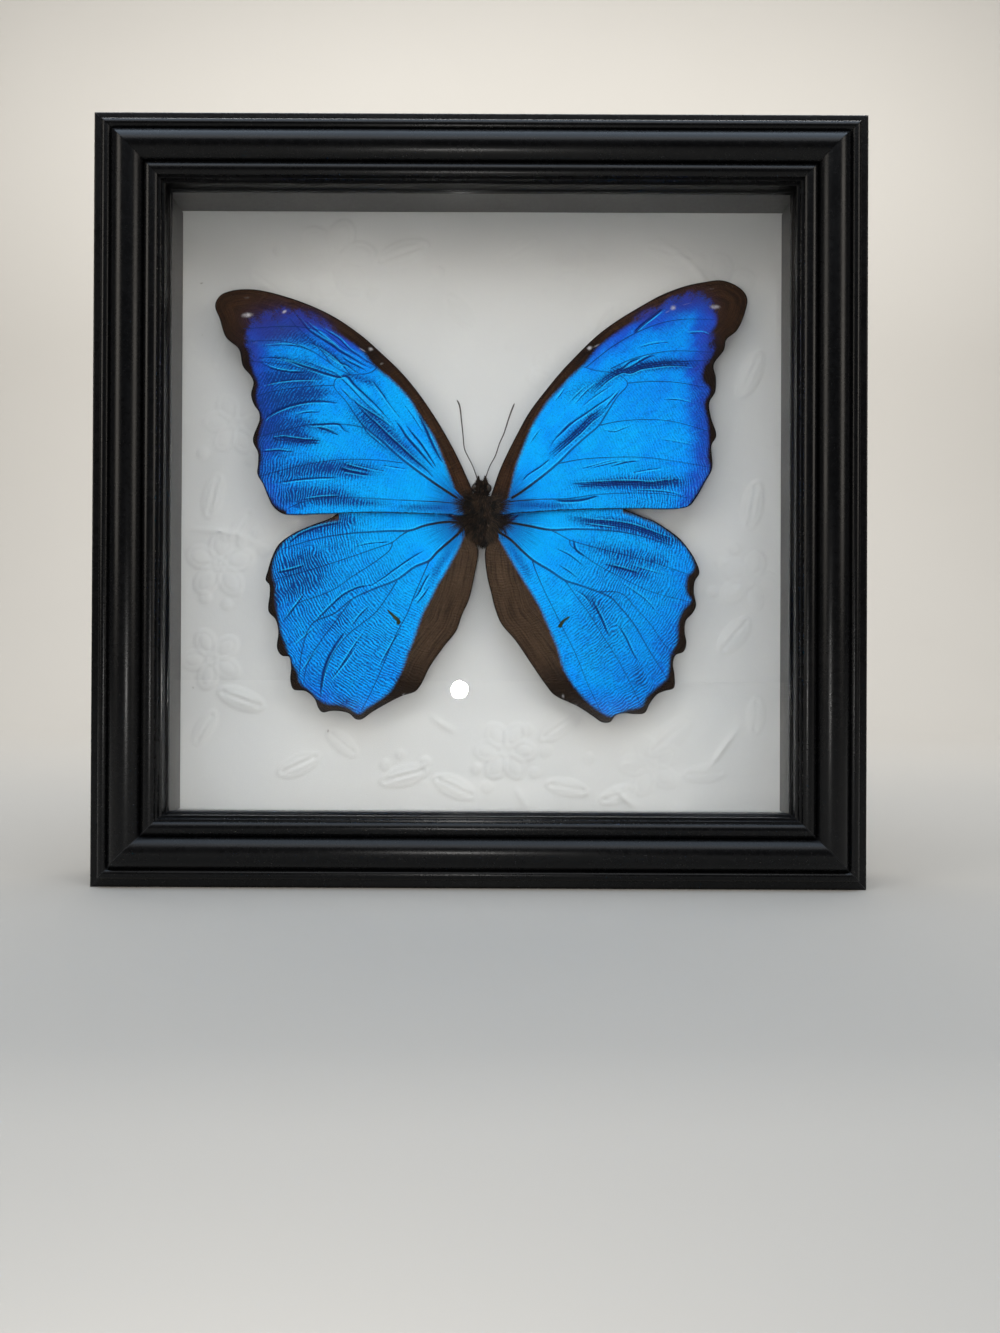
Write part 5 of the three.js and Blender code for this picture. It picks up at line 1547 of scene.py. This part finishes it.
    def eyes(self):
        material, tree, shader, place = new_material("dark_eye", Roughness=0.18)
        cells = add_node(tree, "ShaderNodeTexVoronoi", {"Vector": place, "Scale": 16000.0})
        mottle = noise(tree, place, 1400, 2.0)
        shade = blend_colour(tree, mottle, (0.006, 0.004, 0.003), (0.03, 0.018, 0.01))
        tree.links.new(shade, shader.inputs["Base Color"])
        tree.links.new(bump(tree, cells.outputs["Distance"], 0.00002, 0.4), shader.inputs["Normal"])
        for name, place_mm in EYES.items():
            eye = lump(place_mm, EYE_RADII)
            eye.name = name
            eye.data.name = name
            smooth(eye, 80)
            settle(eye, material)


# The antennae from base to tip, X and Z from the frame's centre, in millimetres.
ANTENNAE = {
    "antenna_left": [(-0.95, 2.95, 8.2), (-2.4, 2.75, 12.0), (-3.7, 2.55, 14.5), (-4.5, 2.4, 16.3),
                     (-4.9, 2.3, 19.8), (-5.4, 2.15, 24.4), (-5.9, 2.1, 28.0), (-6.6, 2.1, 29.5)],
    "antenna_right": [(1.15, 2.95, 8.2), (2.4, 2.75, 11.7), (3.9, 2.55, 14.5), (5.0, 2.4, 17.8),
                      (6.2, 2.3, 20.5), (7.4, 2.15, 24.3), (8.4, 2.1, 27.1), (9.0, 2.1, 28.6)],
}
# The radius along an antenna: thick at its base, thin, then a slightly thicker, pointed end.
ANTENNA_RUN = (0, 0.08, 0.5, 0.85, 0.95, 0.985, 1)
ANTENNA_RADII = (0.19, 0.14, 0.15, 0.2, 0.22, 0.17, 0.06)


def horn_material():
    material, tree, shader, place = new_material("antenna_horn", Roughness=0.45)
    run = attribute(tree, "run")
    bands = math_node(tree, "SINE", times(tree, run, 16.0))
    mottle = noise(tree, place, 900, 2.0)
    shade = blend_colour(tree, mottle, (0.03, 0.022, 0.018), (0.1, 0.08, 0.07))
    shade = blend_colour(tree, smooth_step(tree, bands, 0.4, 1.0), shade, (0.02, 0.015, 0.012))
    tree.links.new(shade, shader.inputs["Base Color"])
    tree.links.new(bump(tree, bands, 0.00001, 0.6), shader.inputs["Normal"])
    return material


class SPECIMEN_OT_antennae(bpy.types.Operator):
    """Draws the two antennae as tapered rods with a slightly thicker, pointed end"""

    bl_idname = "specimen.antennae"
    bl_label = "Antennae"

    def execute(self, context):
        horn = horn_material()
        for name, points in ANTENNAE.items():
            settle(self.rod(name + "_rod", points), horn, [name])
        return {"FINISHED"}

    def rod(self, name, points):
        line = flowing(points, 0.12)
        deselect()
        bpy.ops.mesh.primitive_cylinder_add(vertices=12, radius=1, depth=1, end_fill_type="NGON")
        rod = added(name)
        mesh = bmesh.new()
        mesh.from_mesh(rod.data)
        uprights = [e for e in mesh.edges if abs((e.verts[0].co - e.verts[1].co).z) > 0.5]
        bmesh.ops.subdivide_edges(mesh, edges=uprights, cuts=len(line) - 2, use_grid_fill=True)
        mesh.to_mesh(rod.data)
        mesh.free()
        flat = coordinates(rod.data)
        step = np.clip(np.rint((flat[:, 2] + 0.5) * (len(line) - 1)).astype(int), 0, len(line) - 1)
        away = np.gradient(line, axis=0)
        away /= np.linalg.norm(away, axis=1)[:, None]
        side = np.cross(away, (0, 1, 0))
        side /= np.linalg.norm(side, axis=1)[:, None]
        front = np.cross(side, away)
        t = step / (len(line) - 1)
        radius = np.interp(t, ANTENNA_RUN, ANTENNA_RADII)
        ringed = (radius * (1 + 0.05 * np.sin(step * 1.57)))[:, None]
        around = side[step] * flat[:, :1] * ringed + front[step] * flat[:, 1:2] * ringed
        place_vertices(rod.data, (line[step] + around) * MM + (0, 0, CENTRE.z))
        store(rod.data, "run", t * 21)
        edit(rod)
        bpy.ops.mesh.normals_make_consistent(inside=False)
        leave_edit()
        smooth(rod, 60)
        return rod


# The stage


def stage_material():
    material, tree, shader, place = new_material("pale_stage", Roughness=0.85)
    broad = noise(tree, place, 3, 2.0)
    shade = blend_colour(tree, broad, (0.45, 0.42, 0.375), (0.48, 0.45, 0.405))
    tree.links.new(shade, shader.inputs["Base Color"])
    return material


def add_lamp(name, place, target, size, power, colour, shape="RECTANGLE"):
    deselect()
    bpy.ops.object.light_add(type="AREA", location=place)
    lamp = bpy.context.object
    lamp.name = name
    lamp.data.shape = shape
    lamp.data.size = size[0]
    if shape in ("RECTANGLE", "ELLIPSE"):
        lamp.data.size_y = size[1]
    lamp.data.energy = power * settings().key_light
    lamp.data.color = colour
    aim = Vector(target) - Vector(place)
    lamp.rotation_euler = aim.to_track_quat("-Z", "Y").to_euler()
    return lamp


class SPECIMEN_OT_stage(bpy.types.Operator):
    """Sets the pale floor, the soft light and the camera at the photograph's angle"""

    bl_idname = "specimen.stage"
    bl_label = "Floor, light and camera"

    def execute(self, context):
        self.camera(context)
        self.sweep()
        self.light(context)
        return {"FINISHED"}

    def camera(self, context):
        deselect()
        # the place and turn that bring the frame's and the paper's edges where the photograph has them
        bpy.ops.object.camera_add(location=(0.00555, -0.2694, 0.05622))
        camera = bpy.context.object
        camera.name = "front_camera"
        camera.rotation_euler = (math.radians(90.217), math.radians(-0.248), math.radians(0.031))
        camera.data.sensor_width = 36.0
        camera.data.lens = settings().camera_lens
        camera.data.clip_start = 0.01
        context.scene.camera = camera

    def sweep(self):
        deselect()
        bpy.ops.mesh.primitive_plane_add(size=6, location=(0, -1.9, 0))
        floor = added("floor_sweep")
        edit(floor, rear_edge(floor), "EDGE")
        bpy.ops.mesh.extrude_edges_move(TRANSFORM_OT_translate={"value": (0, 0, 3.2)})
        leave_edit()
        apply_place(floor)
        edit(floor, rear_edge(floor), "EDGE")
        bpy.ops.mesh.bevel(offset=0.5, segments=24)
        leave_edit()
        smooth(floor, 60)
        floor.data.materials.append(stage_material())

    def light(self, context):
        tool = settings()
        cool, blue, warm, white = (0.95, 0.97, 1.0), (0.68, 0.82, 1.0), (1.0, 0.93, 0.84), (1, 0.99, 0.97)
        add_lamp("overhead_softbox", (0, -0.84, 1.02), CENTRE, (1.2, 0.42), 3.7, cool)
        add_lamp("sky_panel", (0, -0.3, 1.3), CENTRE, (1.8, 0.9), 14, blue)
        add_lamp("backdrop_lamp", (0, 0.45, 0.95), (0, 1.1, 0.2), (1.8, 0.3), 13, white)
        for side in (-1, 1):
            add_lamp("side_fill", (side * 1.15, -0.85, 0.55), CENTRE, (0.5, 0.7), 4.6, warm)
        # a small round lamp beside the camera, which the glass mirrors
        front = Vector((-0.0159, -0.2694, 0.046))
        ahead = front * Vector((1, 0, 1))
        add_lamp("small_front_lamp", front, ahead, (0.009,), 0.1, (1, 0.98, 0.95), "DISK")
        world = bpy.data.worlds.new("soft_room")
        world.use_nodes = True
        context.scene.world = world
        sky = world.node_tree.nodes["Background"]
        sky.inputs["Color"].default_value = (0.8, 0.84, 0.9, 1)
        sky.inputs["Strength"].default_value = tool.room_light
        context.scene.view_settings.view_transform = "Standard"
        context.scene.view_settings.look = "None"
        context.scene.view_settings.exposure = 0.0


def rear_edge(floor):
    """Picks the floor's rear edge, where the upright back meets it."""
    back = max(v.co.y for v in floor.data.vertices)

    def wanted(edge):
        ends = [floor.data.vertices[k].co for k in edge.vertices]
        return all(abs(end.z) < 0.01 and end.y > back - 0.01 for end in ends)

    return wanted


# Sizes and colours, panel and run


class SpecimenSettings(bpy.types.PropertyGroup):
    """The sizes and colours that a user would change"""

    rail_depth: bpy.props.FloatProperty(
        name="Rail depth", description="From the outer edge of the moulding to its back",
        default=0.0269, unit="LENGTH", precision=4,
    )
    mitre_gap: bpy.props.FloatProperty(
        name="Mitre gap", description="The fine gap between two rails at a mitre",
        default=0.0001, unit="LENGTH", precision=5,
    )
    paper_cells: bpy.props.IntProperty(
        name="Paper cells", description="How many cells the paper has along a side", default=296,
    )
    emboss_height: bpy.props.FloatProperty(
        name="Embossing height", description="How far the embossing stands up",
        default=0.0004, unit="LENGTH", precision=5,
    )
    wing_cell: bpy.props.FloatProperty(
        name="Wing cell", description="The size of the wings' mesh cells",
        default=0.00026, unit="LENGTH", precision=5,
    )
    wing_relief: bpy.props.FloatProperty(
        name="Wing relief", description="How strongly folds and veins stand out", default=1.0,
    )
    hair_count: bpy.props.IntProperty(
        name="Hair count", description="How many hairs cover the head and thorax", default=9000,
    )
    azure: bpy.props.FloatVectorProperty(
        name="Azure", description="The blue of the middle of the wings", subtype="COLOR",
        size=3, default=(0.0, 0.262, 0.87),
    )
    violet: bpy.props.FloatVectorProperty(
        name="Violet", description="The blue near the wings' margins", subtype="COLOR",
        size=3, default=(0.026, 0.04, 0.4),
    )
    camera_lens: bpy.props.FloatProperty(
        name="Lens", description="The camera's focal length on a 36 mm sensor", default=27.0,
    )
    key_light: bpy.props.FloatProperty(
        name="Key light", description="Strength of the softbox and the fill", default=1.0,
    )
    room_light: bpy.props.FloatProperty(
        name="Room light", description="Strength of the light from all around", default=0.05,
    )


STEPS = ("stage", "rails", "pane", "spacers", "paper", "backing", "wings", "body", "antennae")


class SPECIMEN_PT_panel(bpy.types.Panel):
    """Lists the steps and the settings in the sidebar"""

    bl_label = "Framed specimen"
    bl_idname = "SPECIMEN_PT_panel"
    bl_space_type = "VIEW_3D"
    bl_region_type = "UI"
    bl_category = "Specimen"

    def draw(self, context):
        for key in SpecimenSettings.__annotations__:
            self.layout.prop(context.scene.specimen, key)
        for step in STEPS:
            self.layout.operator("specimen." + step)


CLASSES = (
    SpecimenSettings, SPECIMEN_OT_rails, SPECIMEN_OT_pane, SPECIMEN_OT_spacers, SPECIMEN_OT_paper,
    SPECIMEN_OT_backing, SPECIMEN_OT_wings, SPECIMEN_OT_body, SPECIMEN_OT_antennae, SPECIMEN_OT_stage,
    SPECIMEN_PT_panel,
)


def register():
    for cls in CLASSES:
        bpy.utils.register_class(cls)
    bpy.types.Scene.specimen = bpy.props.PointerProperty(type=SpecimenSettings)


def unregister():
    del bpy.types.Scene.specimen
    for cls in reversed(CLASSES):
        bpy.utils.unregister_class(cls)


def main():
    register()
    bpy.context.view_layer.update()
    for step in STEPS:
        getattr(bpy.ops.specimen, step)()


if __name__ == "__main__":
    main()
